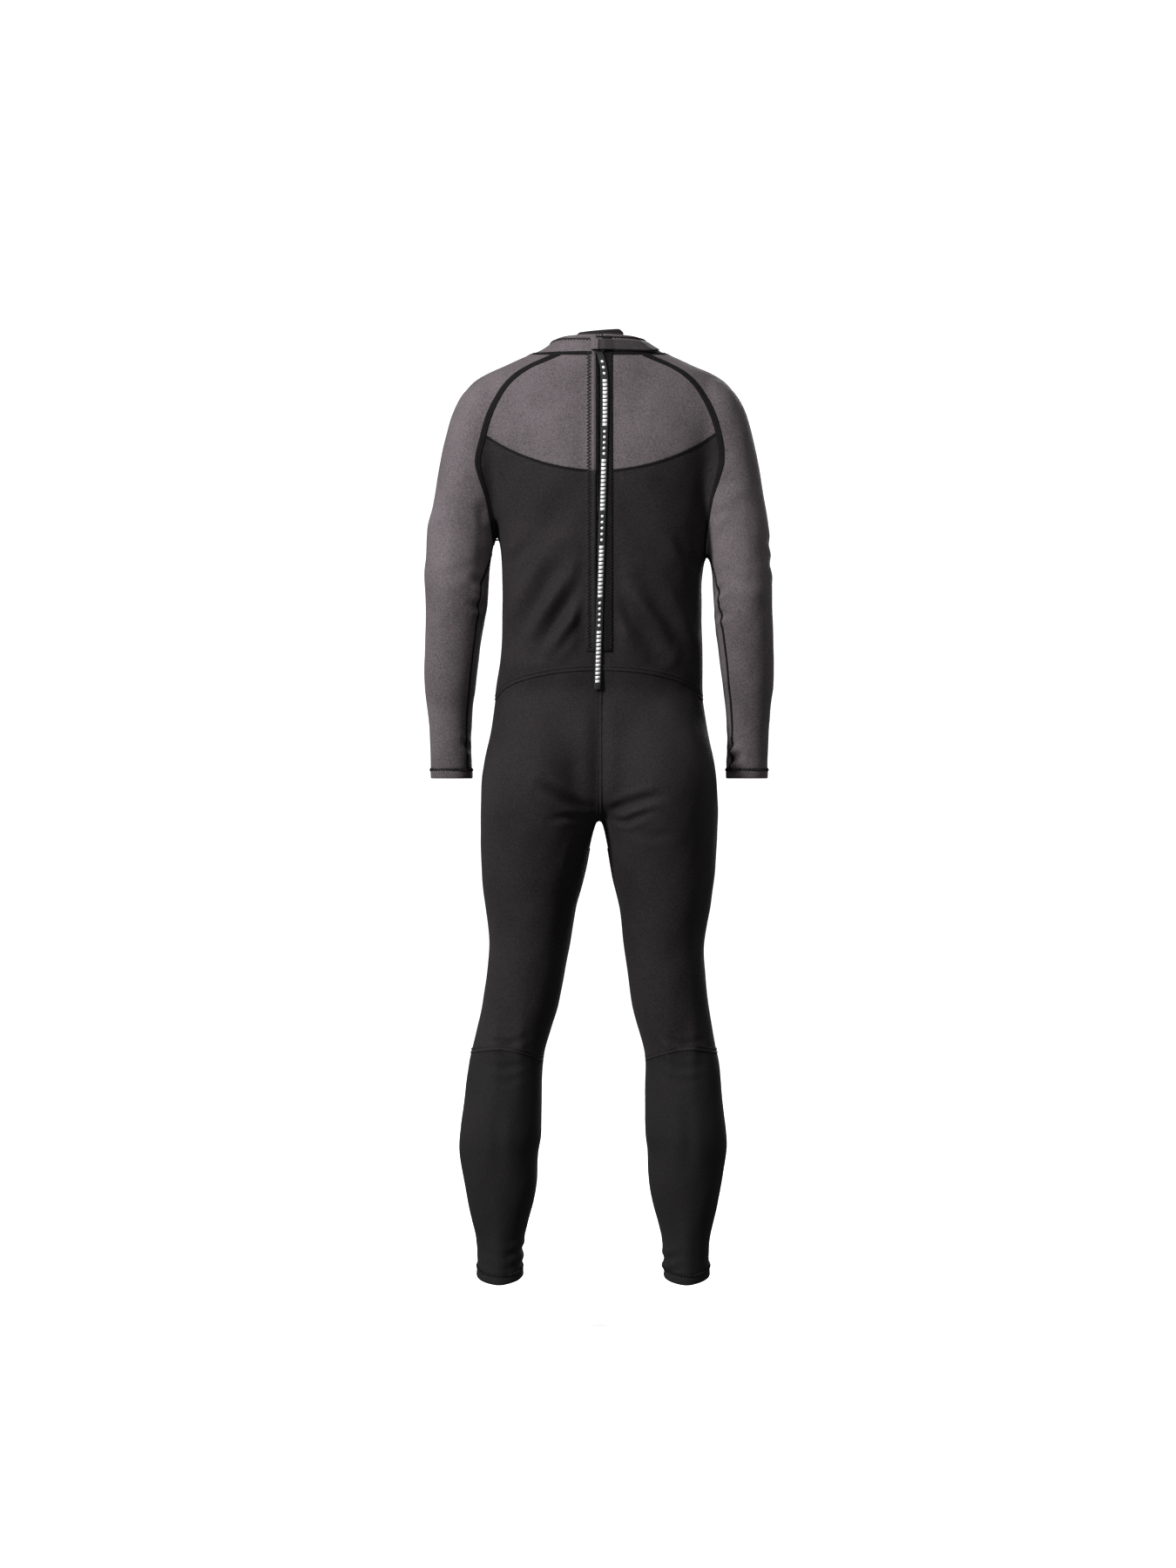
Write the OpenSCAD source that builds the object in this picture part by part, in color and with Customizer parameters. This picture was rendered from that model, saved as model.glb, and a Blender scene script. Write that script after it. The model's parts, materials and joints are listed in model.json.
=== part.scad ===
// Full wetsuit with a back zip, in the shape that it has when it is worn.
// Millimetres. +Z is up, -Y is the back with the zip, +X is the wearer's right.
// The origin is in the middle of the neck opening, level with the collar seam at the back.

/* [Suit] */
// Thickness of the neoprene
neoprene = 3; // [2.5:0.5:3.5]
// Width of a taped seam
seam_w = 10; // [8:1:12]
// How far a seam tape stands proud
seam_proud = 0.8; // [0.6:0.1:1]
// Height of the cuff and ankle hems
hem_h = 13; // [10:1:16]

/* [Zip] */
// Radius of the curve that the zip follows down the back
zip_r = 1240; // [1200:10:1300]
// Height of the zip's lower stop, from the collar seam
zip_low = -480; // [-500:5:-460]
// Half the gap between the neoprene edges at the zip
zip_gap = 7; // [6:0.5:8]
// Half the width of the zip tapes
tape_x = 19; // [17:1:22]

/* [Pull strap] */
// Length of the pull strap below the puller
strap_len = 528; // [500:1:530]
// Width of the pull strap
strap_w = 11; // [10:1:14]
// Thickness of the pull strap
strap_t = 1.4; // [1:0.1:1.8]

/* [Hidden] */

GREY = [0.36, 0.33, 0.35];
BLACK = [0.12, 0.11, 0.115];
INK = [0.05, 0.05, 0.055];
CHROME = [0.55, 0.55, 0.57];

// ---- The curve of the zip: an arc in the plane x = 0, with its centre in front of the body ----
zip_top_yz = [-70, -5];
zip_low_yz = [-100, -480];
chord = norm(zip_low_yz - zip_top_yz);
chord_dir = (zip_low_yz - zip_top_yz) / chord;
to_centre = sqrt(zip_r * zip_r - chord * chord / 4);
arc_c = (zip_top_yz + zip_low_yz) / 2 + to_centre * [-chord_dir[1], chord_dir[0]];

// Depth of the back's centre line behind y = 0, at height z
function zip_y(z) = sqrt(zip_r * zip_r - pow(z - arc_c[1], 2)) - arc_c[0];
// Angle of height z round the arc's centre: 0 is level with it, and positive is lower
function zip_a(z) = asin((arc_c[1] - z) / zip_r);

// ---- The form of the body, as stations from the top down ----
// Torso: [z, half width, depth of the back, depth of the front, squareness]
TORSO = [
    [45, 62, zip_y(45), 50, 2.05], [22, 67, zip_y(22), 52, 2.05], [8, 82, zip_y(8), 53, 2.1],
    [-2, 98, zip_y(-2), 54, 2.1], [-12, 124, zip_y(-12), 55, 2.1], [-24, 150, zip_y(-24), 57, 2.1],
    [-38, 182, zip_y(-38), 61, 2.1], [-52, 203, zip_y(-52), 66, 2.1], [-66, 215, zip_y(-66), 71, 2.15],
    [-84, 222, zip_y(-84), 78, 2.2], [-110, 222, zip_y(-110), 88, 2.25], [-150, 208, zip_y(-150), 101, 2.35],
    [-190, 190, zip_y(-190), 111, 2.45], [-240, 177, zip_y(-240), 118, 2.5], [-300, 168, zip_y(-300), 119, 2.5],
    [-360, 160, zip_y(-360), 116, 2.45], [-420, 159, zip_y(-420), 112, 2.4], [-480, 161, zip_y(-480), 109, 2.35],
    [-516, 163, zip_y(-516), 109, 2.35], [-552, 166, zip_y(-552), 109, 2.3], [-600, 173, 100, 107, 2.3],
    [-640, 180, 110, 104, 2.3], [-680, 184, 114, 98, 2.3], [-706, 181, 113, 94, 2.3], [-730, 168, 102, 86, 2.2], [-752, 120, 72, 62, 2.1], [-768, 60, 40, 36, 2.05]];
// Arm: [z, centre x, centre y, half width, half depth]
ARM = [
    [-50, 176, -2, 22, 40], [-66, 180, -4, 36, 50], [-84, 184, -5, 44, 56], [-110, 189, -6, 49.5, 60],
    [-160, 200, -8, 51.5, 62], [-220, 209, -10, 53, 61], [-276, 218, -12, 53, 59], [-332, 223, -14, 51, 56],
    [-360, 227, -15, 50, 54], [-416, 230, -14, 48, 51], [-472, 235, -8, 45, 48], [-528, 239, 2, 42, 45],
    [-584, 240, 13, 37, 41], [-640, 239, 24, 35, 38], [-686, 238, 32, 35.5, 37]];
// Leg: [z, centre x, centre y, half width, half depth]
LEG = [
    [-540, 84, 0, 54, 62], [-570, 86, -3, 70, 80], [-604, 89, -8, 81, 94], [-640, 92, -14, 89, 107], [-680, 94, -19, 94, 116], [-720, 95, -20, 95.5, 116],
    [-760, 96, -17, 95, 110], [-800, 100.5, -12, 89.5, 101], [-836, 104, -9, 84, 94], [-892, 108, -6, 73, 84],
    [-948, 108, -4, 65, 76], [-1004, 114, -4, 62, 71], [-1060, 123, -6, 60.5, 66], [-1116, 137, -8, 58, 61],
    [-1144, 142, -10, 59, 60], [-1200, 145, -18, 61.5, 62], [-1256, 149, -26, 65, 62], [-1284, 151, -28, 63, 60],
    [-1340, 148, -30, 57, 55], [-1396, 149, -31, 44, 46], [-1424, 149, -31, 38, 43], [-1460, 149, -31, 36.5, 42],
    [-1492, 149, -31, 38, 43.5]];

arm_end = ARM[len(ARM) - 1][0];
leg_end = LEG[len(LEG) - 1][0];
torso_end = TORSO[len(TORSO) - 1][0];

// Value of column k of a station table at height z, on a smooth curve through the stations
function segment(tab, z, i = 0) = i >= len(tab) - 2 || z >= tab[i + 1][0] ? i : segment(tab, z, i + 1);
function slope(tab, i, k) =
    let (a = max(i - 1, 0), b = min(i + 1, len(tab) - 1)) (tab[b][k] - tab[a][k]) / (tab[b][0] - tab[a][0]);
function at(tab, z, k) =
    let (i = segment(tab, z), h = tab[i + 1][0] - tab[i][0], t = min(1, max(0, (z - tab[i][0]) / h)))
    (2 * t * t * t - 3 * t * t + 1) * tab[i][k] + (t * t * t - 2 * t * t + t) * h * slope(tab, i, k)
    + (3 * t * t - 2 * t * t * t) * tab[i + 1][k] + (t * t * t - t * t) * h * slope(tab, i + 1, k);

// On top of the shoulders the skin lies nearly level, so there it grows upwards as well
shoulder_z = -70;
function level_z(z, grow) = z > shoulder_z ? z - grow : z;

function signed_pow(v, e) = sign(v) * pow(abs(v), e);
function torso_ring(z, grow, n) =
    let (s = level_z(z, grow), w = at(TORSO, s, 1) + grow, b = at(TORSO, s, 2) + grow,
        f = at(TORSO, s, 3) + grow, e = 2 / at(TORSO, s, 4))
    [for (i = [0:n - 1]) let (a = 360 * i / n)
        [w * signed_pow(cos(a), e), (sin(a) < 0 ? b : f) * signed_pow(sin(a), e), z]];
function limb_ring(tab, z, grow, n) =
    let (s = max(z, tab[len(tab) - 1][0]), x = at(tab, s, 1), y = at(tab, s, 2),
        w = at(tab, s, 3) + grow, d = at(tab, s, 4) + grow)
    [for (i = [0:n - 1]) [x + w * cos(360 * i / n), y + d * sin(360 * i / n), z]];

// Point of the back's skin at x, z, moved out by grow
function back_point(x, z, grow) =
    let (s = level_z(z, grow), w = at(TORSO, s, 1) + grow, b = at(TORSO, s, 2) + grow, e = at(TORSO, s, 4))
    [x, -b * pow(max(0, 1 - pow(min(1, abs(x) / w), e)), 1 / e), z];

function heights(top, low, step) =
    let (n = ceil((top - low) / step)) [for (i = [0:n]) top + (low - top) * i / n];

// A closed solid through a list of rings that all have the same number of points, from the top down
module loft(rings) {
    n = len(rings[0]);
    m = len(rings);
    points = [for (r = rings) for (p = r) p];
    sides = [for (j = [0:m - 2]) for (i = [0:n - 1]) let (k = (i + 1) % n, a = j * n, b = a + n)
        [[a + i, a + k, b + i], [a + k, b + k, b + i]]];
    polyhedron(points, concat([for (s = sides) for (t = s) t],
        [[for (i = [n - 1:-1:0]) i]], [[for (i = [0:n - 1]) (m - 1) * n + i]]));
}

module both_sides() {
    children();
    mirror([1, 0, 0]) children();
}

// Heights of the rings over the shoulders, where the slope of the skin changes fast
SHOULDER_RINGS = [32, 20, 13, 8, 3, -2, -7, -12, -18, -24, -32, -43, -56, -70];

// The body's form as one solid: grow moves its skin out, and extra runs its open ends on
module form(grow = 0, extra = 0) {
    loft([for (z = concat([45 + extra], SHOULDER_RINGS, heights(-84, torso_end, 38)))
        torso_ring(z > torso_end ? z : z - grow, grow, 32)]);
    both_sides() {
        loft([for (z = heights(-50 + min(grow, 0), arm_end - extra, 44)) limb_ring(ARM, z, grow, 16)]);
        loft([for (z = heights(-540 + min(grow, 0), leg_end - extra, 44)) limb_ring(LEG, z, grow, 20)]);
    }
}

// ---- Regions that the seams cut the suit into, drawn as outlines ----
far = 400;
// An outline in x and z, through the whole suit from front to back
module through_y() { rotate([90, 0, 0]) linear_extrude(2 * far, center = true) children(); }
// An outline in y and z, through the whole suit from side to side
module through_x() { rotate([90, 0, 90]) linear_extrude(2 * far, center = true) children(); }

module back_half() { translate([-far, -2 * far, -4 * far]) cube([2 * far, 2 * far, 5 * far]); }
module front_half() { translate([-far, 0, -4 * far]) cube([2 * far, 2 * far, 5 * far]); }
// side is -1 for the wearer's left and 1 for the right
module half(side) { translate([side < 0 ? -far : 0, -far, -4 * far]) cube([far, 2 * far, 5 * far]); }

// The raglan seam is part of an ellipse, from the neck to the arm, and then runs down to the armpit
raglan_c = [50, -165];
raglan_r = [147, 157];
armpit_z = -318;
module torso_outline() {
    arc = [for (a = [90:-6:0]) raglan_c + [raglan_r[0] * cos(a), raglan_r[1] * sin(a)]];
    below = [[188, -182], [177, -225], [171, -270], [167.5, armpit_z], [171, -440], [188, -600], [198, -720]];
    right = concat([[raglan_c[0], far]], arc, below, [[far, -720], [far, -4 * far]]);
    polygon(concat(right, [for (i = [len(right) - 1:-1:0]) [-right[i][0], right[i][1]]]));
}
module arm_outline(side) {
    difference() {
        translate([side < 0 ? -far : 0, -720]) square([far, 720 + far]);
        torso_outline();
    }
}

// The yokes end in an arc that hangs down in the middle
yoke_r = 309;
yoke_z = -193;
module yoke_outline() { translate([0, yoke_z + yoke_r]) circle(yoke_r, $fn = 120); }

// The waist seam is an arch
waist_z = -508;
waist_r = [162, 45];
module below_waist() {
    translate([0, waist_z - waist_r[1]]) scale([waist_r[0], waist_r[1]]) circle(1, $fn = 60);
    translate([-far, -4 * far]) square([2 * far, 4 * far + waist_z - waist_r[1]]);
}

// The knee seam rises to its highest point just outside the middle of the leg
knee_z = -1120;
knee_seam_r = 250;
module below_knee() {
    for (s = [-1, 1]) translate([s * 165, knee_z - knee_seam_r]) circle(knee_seam_r, $fn = 120);
    translate([-far, -4 * far]) square([2 * far, 4 * far + knee_z - 60]);
}

// The neckline and the collar's seam are nearly level at the back and dip at the front
NECKLINE = [[-far, 25], [-70, 25], [-40, 24], [-10, 22], [12, 14], [30, 0], [45, -14], [60, -24], [far, -26]];
COLLAR_LINE = [[-far, -8], [-75, -8], [-40, -6], [-10, -3], [10, -8], [30, -22], [50, -42], [70, -56], [far, -58]];
module above(line, lower = 0) {
    polygon(concat([for (p = line) [p[0], p[1] - lower]], [[far, far], [-far, far]]));
}
module zip_slot() {
    translate([-zip_gap, -2 * far, slot_low]) cube([2 * zip_gap, 2 * far, far - slot_low]);
}
module hem_zone(z, h) { translate([-far, -far, z - 1]) cube([2 * far, 2 * far, h + 1]); }

pad_c = [137, -1135];
pad_r = [50, 88];
module knee_pad_outline(side) {
    translate([side * pad_c[0], pad_c[1]]) scale([pad_r[0], pad_r[1]]) circle(1, $fn = 48);
}
module pad_zone(side) { intersection() { front_half(); through_y() knee_pad_outline(side); } }

// ---- The neoprene ----
// The free-form solids are worked out together as one mesh
module as_one_mesh() { resize([0, 0, 0]) children(); }

module suit_shell() {
    difference() {
        form();
        form(grow = -neoprene, extra = 20);
        through_x() above(NECKLINE);
        zip_slot();
    }
}
// What is cut from a band of neoprene by two lists of regions is the panel between the seams
module panel(tone) {
    color(tone) as_one_mesh() intersection() {
        suit_shell();
        children();
    }
}
module above_waist() { difference() { cube(4 * far, center = true); through_y() below_waist(); } }
module torso_zone() {
    difference() {
        intersection() { through_y() torso_outline(); above_waist(); }
        through_x() above(COLLAR_LINE);
    }
}

module collar() {
    panel(GREY) through_x() above(COLLAR_LINE);
}
module back_yoke(side) {
    panel(GREY) intersection() { torso_zone(); through_y() yoke_outline(); back_half(); half(side); }
}
module front_yoke() {
    panel(GREY) intersection() { torso_zone(); through_y() yoke_outline(); front_half(); }
}
module back_panel(side) {
    panel(BLACK) difference() {
        intersection() { torso_zone(); back_half(); half(side); }
        through_y() yoke_outline();
    }
}
module front_panel() {
    panel(BLACK) difference() {
        intersection() { torso_zone(); front_half(); }
        through_y() yoke_outline();
    }
}
module sleeve(side) {
    panel(GREY) difference() {
        through_y() arm_outline(side);
        through_x() above(COLLAR_LINE);
        hem_zone(arm_end, hem_h);
    }
}
module cuff_hem(side) {
    panel(GREY) intersection() { through_y() arm_outline(side); hem_zone(arm_end, hem_h); }
}
module leg_zone(side) {
    difference() {
        intersection() { half(side); through_y() below_waist(); through_y() torso_outline(); }
        hem_zone(leg_end, hem_h);
        pad_zone(side);
    }
}
module leg_panel(side) {
    panel(BLACK) difference() { leg_zone(side); through_y() below_knee(); }
}
module lower_leg(side) {
    panel(BLACK) intersection() { leg_zone(side); through_y() below_knee(); }
}
module knee_pad(side) { panel(INK) pad_zone(side); }
module ankle_hem(side) {
    panel(BLACK) intersection() { half(side); hem_zone(leg_end, hem_h); }
}

// ---- The taped seams, on the outside of the neoprene ----
module tape(tone = INK) {
    color(tone) as_one_mesh() intersection() {
        difference() {
            form(grow = seam_proud);
            form();
            through_x() above(NECKLINE, 2);
            zip_slot();
        }
        children();
    }
}
// A band of the seams' width along the edge of an outline
module edge_band(w = seam_w) {
    difference() {
        offset(delta = w / 2) children();
        offset(delta = -w / 2) children();
    }
}
seam_clear = seam_w / 2 + 0.2;
module collar_seam() {
    tape() through_x() difference() {
        above(COLLAR_LINE, seam_w * 0.35);
        above(COLLAR_LINE, -seam_w * 0.35);
    }
}
module raglan_seam(side) {
    tape() difference() {
        intersection() {
            through_y() edge_band() torso_outline();
            half(side);
            translate([-far, -far, armpit_z]) cube(2 * far);
        }
        through_x() above(COLLAR_LINE, seam_w * 0.35 + 0.2);
    }
}
module inside_raglan() { through_y() offset(delta = -seam_clear) torso_outline(); }
module yoke_seam_zone() {
    intersection() {
        through_y() edge_band(4) yoke_outline();
        inside_raglan();
        translate([-far, -far, -300]) cube([2 * far, 2 * far, 260]);
    }
}
module back_yoke_seam(side) { tape() intersection() { yoke_seam_zone(); back_half(); half(side); } }
module front_yoke_seam() { tape() intersection() { yoke_seam_zone(); front_half(); } }
module waist_seam() {
    tape() intersection() { through_y() edge_band() below_waist(); through_y() torso_outline(); }
}
side_low = waist_z - waist_r[1] + 18;
module side_seam(side) {
    tape() intersection() {
        translate([-far, -seam_w / 2, side_low]) cube([2 * far, seam_w, armpit_z - seam_clear - side_low]);
        through_y() torso_outline();
        half(side);
    }
}
module seat_seam() {
    seat_top = waist_z - seam_clear;
    seat_low = -742;
    tape() intersection() {
        translate([-seam_w / 2, -2 * far, seat_low]) cube([seam_w, 2 * far, seat_top - seat_low]);
        back_half();
    }
}
module knee_seam(side) {
    tape() intersection() {
        through_y() edge_band(seam_w * 0.8) below_knee();
        half(side);
        difference() {
            cube(10 * far, center = true);
            pad_zone(side);
            translate([-130, -16, knee_z - 60]) cube([260, far, 120]);
        }
    }
}
// A strip down a limb at a share of its half width from its middle, on the back or on the inside
module limb_strip(tab, side, share, w, top, low) {
    rows = heights(top, low, 28);
    mids = [for (z = rows) [side * (at(tab, z, 1) + share * at(tab, z, 3)), z]];
    polygon(concat([for (p = mids) p - [w / 2, 0]],
        [for (i = [len(mids) - 1:-1:0]) mids[i] + [w / 2, 0]]));
}
module sleeve_seam(side) {
    tape() intersection() {
        through_y() limb_strip(ARM, side, -0.62, seam_w * 0.6, armpit_z, arm_end + hem_h);
        through_y() arm_outline(side);
        back_half();
    }
}
module inner_leg_zone(side, w) {
    rows = heights(-800, leg_end + hem_h, 40);
    mids = [for (z = rows) [at(LEG, z, 2), z]];
    intersection() {
        through_x() polygon(concat([for (p = mids) p - [w, 0]],
            [for (i = [len(mids) - 1:-1:0]) mids[i] + [w, 0]]));
        through_y() polygon(concat([[0, -800]], [for (z = rows) [side * at(LEG, z, 1), z]], [[0, leg_end]]));
    }
}
module inner_leg_seam(side) { tape() inner_leg_zone(side, seam_w * 0.4); }

// ---- The zip ----
// Point on the back at x, z, moved out squarely from the zip's arc
function strip_point(x, z, out) =
    let (a = zip_a(z), e = at(TORSO, z, 4), flat = pow(max(0, 1 - pow(abs(x) / at(TORSO, z, 1), e)), 1 / e))
    [x, -zip_y(z) * flat - out * cos(a), z - out * sin(a)];
// A thin strip that follows the back: it reaches from out inwards by thick
module back_strip(xs, zs, out, thick) {
    n = len(xs);
    m = len(zs);
    function id(layer, j, i) = (layer * m + j) * n + i;
    points = [for (g = [out, out - thick]) for (z = zs) for (x = xs) strip_point(x, z, g)];
    function quad(a, b, c, d) = [[a, b, c], [a, c, d]];
    outer = [for (j = [0:m - 2]) for (i = [0:n - 2])
        quad(id(0, j, i), id(0, j, i + 1), id(0, j + 1, i + 1), id(0, j + 1, i))];
    inner = [for (j = [0:m - 2]) for (i = [0:n - 2])
        quad(id(1, j, i), id(1, j + 1, i), id(1, j + 1, i + 1), id(1, j, i + 1))];
    ends = [for (i = [0:n - 2]) each [
        quad(id(0, 0, i), id(1, 0, i), id(1, 0, i + 1), id(0, 0, i + 1)),
        quad(id(0, m - 1, i), id(0, m - 1, i + 1), id(1, m - 1, i + 1), id(1, m - 1, i))]];
    edges = [for (j = [0:m - 2]) each [
        quad(id(0, j, 0), id(0, j + 1, 0), id(1, j + 1, 0), id(1, j, 0)),
        quad(id(0, j, n - 1), id(1, j, n - 1), id(1, j + 1, n - 1), id(0, j + 1, n - 1))]];
    polyhedron(points, [for (q = concat(outer, inner, ends, edges)) for (t = q) [t[0], t[2], t[1]]]);
}

// A profile drawn as [distance outwards from the suit's outer skin, x], swept along the zip's arc
module along_zip(top, low) {
    translate([0, arc_c[0], arc_c[1]]) rotate([0, 90, 0])
        rotate_extrude(angle = zip_a(low) - zip_a(top), start = zip_a(top) - 90, $fn = 360)
            translate([zip_r, 0]) children();
}
// Things placed at height z on the arc, with +Y pointing into the suit and +Z up along the zip
module on_zip(z) {
    translate([0, arc_c[0], arc_c[1]]) rotate([zip_a(z), 0, 0]) translate([0, -zip_r, 0]) children();
}

zip_top = 17;
slot_low = zip_low - 9;
split = 0.8; // half the gap between the two halves of the zip, where the slider's post runs
coil_t = 3.2;
coil_out = -2.3; // the coil's middle, outwards from the skin
module zip_tape(side) {
    xs = side < 0 ? [-tape_x, -tape_x / 2, -split] : [split, tape_x / 2, tape_x];
    color(INK) back_strip(xs, heights(zip_top + 1, zip_low - 16, 26), -neoprene - 1.1, 0.8);
}
module zip_coil(side) {
    color(INK) along_zip(zip_top, zip_low)
        translate([coil_out, side * (split + 1.3)]) square([coil_t, 2.6], center = true);
}
module zip_top_stops() {
    color(CHROME) along_zip(zip_top + 3.6, zip_top + 0.1)
        for (s = [-1, 1]) translate([coil_out, s * (split + 1.4)]) square([3.6, 2.8], center = true);
}
module zip_bottom_stop() {
    color(CHROME) along_zip(zip_low - 0.1, zip_low - 6)
        translate([coil_out, 0]) square([3.4, 8], center = true);
}
// The flap of thin neoprene behind the zip, which stands up above the collar
guard_x = 38;
module zip_guard() {
    color(INK) back_strip([for (i = [-4:4]) i * guard_x / 4], heights(34, zip_low - 10, 30), -8.5, 2);
}

// ---- The slider, its puller and the strap ----
slider_z = 8;
slider_len = 13;
slider_w = 10;
pin_r = 1;
pin_out = 3; // the puller's pin, outwards from the skin
puller_len = 17;
bar_r = 1.2;
module slider_plate(out, t) {
    translate([0, -out, 0]) rotate([90, 0, 0]) linear_extrude(t, center = true)
        polygon([[-slider_w / 2, slider_len / 2 - 3], [-slider_w / 2 + 2, slider_len / 2],
            [slider_w / 2 - 2, slider_len / 2], [slider_w / 2, slider_len / 2 - 3],
            [slider_w / 2 - 2, -slider_len / 2], [-slider_w / 2 + 2, -slider_len / 2]]);
}
module zip_slider() {
    color(CHROME) on_zip(slider_z) {
        slider_plate(0.2, 1.2);
        slider_plate(-5.8, 0.8);
        translate([-0.5, -0.2, -3]) cube([1, 6, 6]);
        for (s = [-1, 1]) translate([s * 3.2 - 0.5, -pin_out - 1.5, -2]) cube([1, pin_out + 1.4, 4]);
        translate([0, -pin_out, 0]) rotate([0, 90, 0]) cylinder(r = pin_r, h = 6.4, center = true, $fn = 32);
    }
}
module zip_puller() {
    color(CHROME) on_zip(slider_z) translate([0, -pin_out, 0]) difference() {
        union() {
            rotate([0, 90, 0]) cylinder(r = pin_r + 1, h = 4.8, center = true, $fn = 32);
            translate([-2.4, -1, -puller_len + 6]) cube([4.8, 1.6, puller_len - 6]);
            for (s = [-1, 1]) translate([s * 6.6 - 1, -1, -puller_len]) cube([2, 1.6, 8]);
            translate([-7.6, -1, -puller_len + 6]) cube([15.2, 1.6, 2]);
            translate([0, -0.2, -puller_len]) rotate([0, 90, 0])
                cylinder(r = bar_r, h = 15.2, center = true, $fn = 32);
        }
        rotate([0, 90, 0]) cylinder(r = pin_r + 0.06, h = 20, center = true, $fn = 32);
    }
}
// The strap lies along the zip's arc from the puller's bar down, its middle strap_out off the skin
strap_out = pin_out + 0.2;
strap_top = slider_z - puller_len;
module pull_strap() {
    eye_r = bar_r + 0.08;
    color(INK) {
        along_zip(strap_top - 2, strap_top - strap_len)
            translate([strap_out, 0]) square([strap_t, strap_w], center = true);
        on_zip(slider_z) translate([0, -strap_out, -puller_len]) difference() {
            union() {
                rotate([0, 90, 0]) cylinder(r = eye_r + 1, h = strap_w - 0.4, center = true, $fn = 32);
                translate([-strap_w / 2 + 0.3, -strap_t / 2 - 0.3, -4.4]) cube([strap_w - 0.6, strap_t + 0.6, 3.4]);
            }
            rotate([0, 90, 0]) cylinder(r = eye_r, h = 20, center = true, $fn = 32);
        }
    }
}
module strap_end() {
    end_z = strap_top - strap_len;
    color(BLACK) along_zip(end_z - 0.1, end_z - 9)
        translate([strap_out, 0]) square([2.8, strap_w - 1], center = true);
}

// ---- The neck tab: it starts at the left end of the collar and closes over the right side ----
tab_z = [15, -3];
tip_z = [13, 0.5];
tab_step = 0.05;
tab_root = -3 * tab_step;
// Distance of the tab's underside from the collar: it rises over the slider and is close beyond it
function tab_under(f) = f < 0.25 ? lookup(f, [[tab_root, 0.4], [-0.1, 6.4], [0.1, 6.4], [0.25, 2.9]]) : 2.5;
module wrapped(f0, f1, under, thick) {
    rows = 3;
    function x_at(f, z) = let (k = min(1, max(0, (f - 0.1) / 0.5))) f * (87 + (at(TORSO, z, 1) + 3 - 87) * k);
    function z_at(f, j) = let (k = max(0, (f - 0.7) / 0.25), top = tab_z[0] + (tip_z[0] - tab_z[0]) * k,
        low = tab_z[1] + (tip_z[1] - tab_z[1]) * k) top + (low - top) * j / rows;
    n = round((f1 - f0) / tab_step);
    loft([for (i = [0:n]) let (f = f0 + tab_step * i, u = tab_under(f) + under)
        concat([for (j = [0:rows]) let (z = z_at(f, j)) back_point(x_at(f, z), z, u + thick)],
            [for (j = [rows:-1:0]) let (z = z_at(f, j)) back_point(x_at(f, z), z, u)])]);
}
module neck_tab() { color(INK) wrapped(tab_root, 0.95, 0, 2); }
module neck_tab_hooks() { color(INK) wrapped(0.6, 0.9, -1.3, 1); }
module neck_loop_pad() { color(INK) wrapped(0.45, 0.95, -2.2, 0.7); }

collar();
back_yoke(-1);  // back_yoke_left
back_yoke(1);  // back_yoke_right
back_panel(-1);  // back_panel_left
back_panel(1);  // back_panel_right
front_yoke();
front_panel();
sleeve(-1);  // sleeve_left
sleeve(1);  // sleeve_right
leg_panel(-1);  // leg_panel_left
leg_panel(1);  // leg_panel_right
knee_pad(-1);  // knee_pad_left
knee_pad(1);  // knee_pad_right
lower_leg(-1);  // lower_leg_left
lower_leg(1);  // lower_leg_right
cuff_hem(-1);  // cuff_hem_left
cuff_hem(1);  // cuff_hem_right
ankle_hem(-1);  // ankle_hem_left
ankle_hem(1);  // ankle_hem_right
collar_seam();
raglan_seam(-1);  // raglan_seam_left
raglan_seam(1);  // raglan_seam_right
back_yoke_seam(-1);  // back_yoke_seam_left
back_yoke_seam(1);  // back_yoke_seam_right
front_yoke_seam();
side_seam(-1);  // side_seam_left
side_seam(1);  // side_seam_right
waist_seam();
seat_seam();
knee_seam(-1);  // knee_seam_left
knee_seam(1);  // knee_seam_right
sleeve_seam(-1);  // sleeve_seam_left
sleeve_seam(1);  // sleeve_seam_right
inner_leg_seam(-1);  // inner_leg_seam_left
inner_leg_seam(1);  // inner_leg_seam_right
zip_guard();
zip_tape(-1);  // zip_tape_left
zip_tape(1);  // zip_tape_right
zip_coil(-1);  // zip_coil_left
zip_coil(1);  // zip_coil_right
zip_top_stops();
zip_bottom_stop();
zip_slider();
zip_puller();
pull_strap();
strap_end();
neck_tab();
neck_tab_hooks();
neck_loop_pad();
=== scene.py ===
import bpy, bmesh, json, math
import numpy as np
from itertools import permutations
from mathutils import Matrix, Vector
from mathutils.bvhtree import BVHTree

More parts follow.
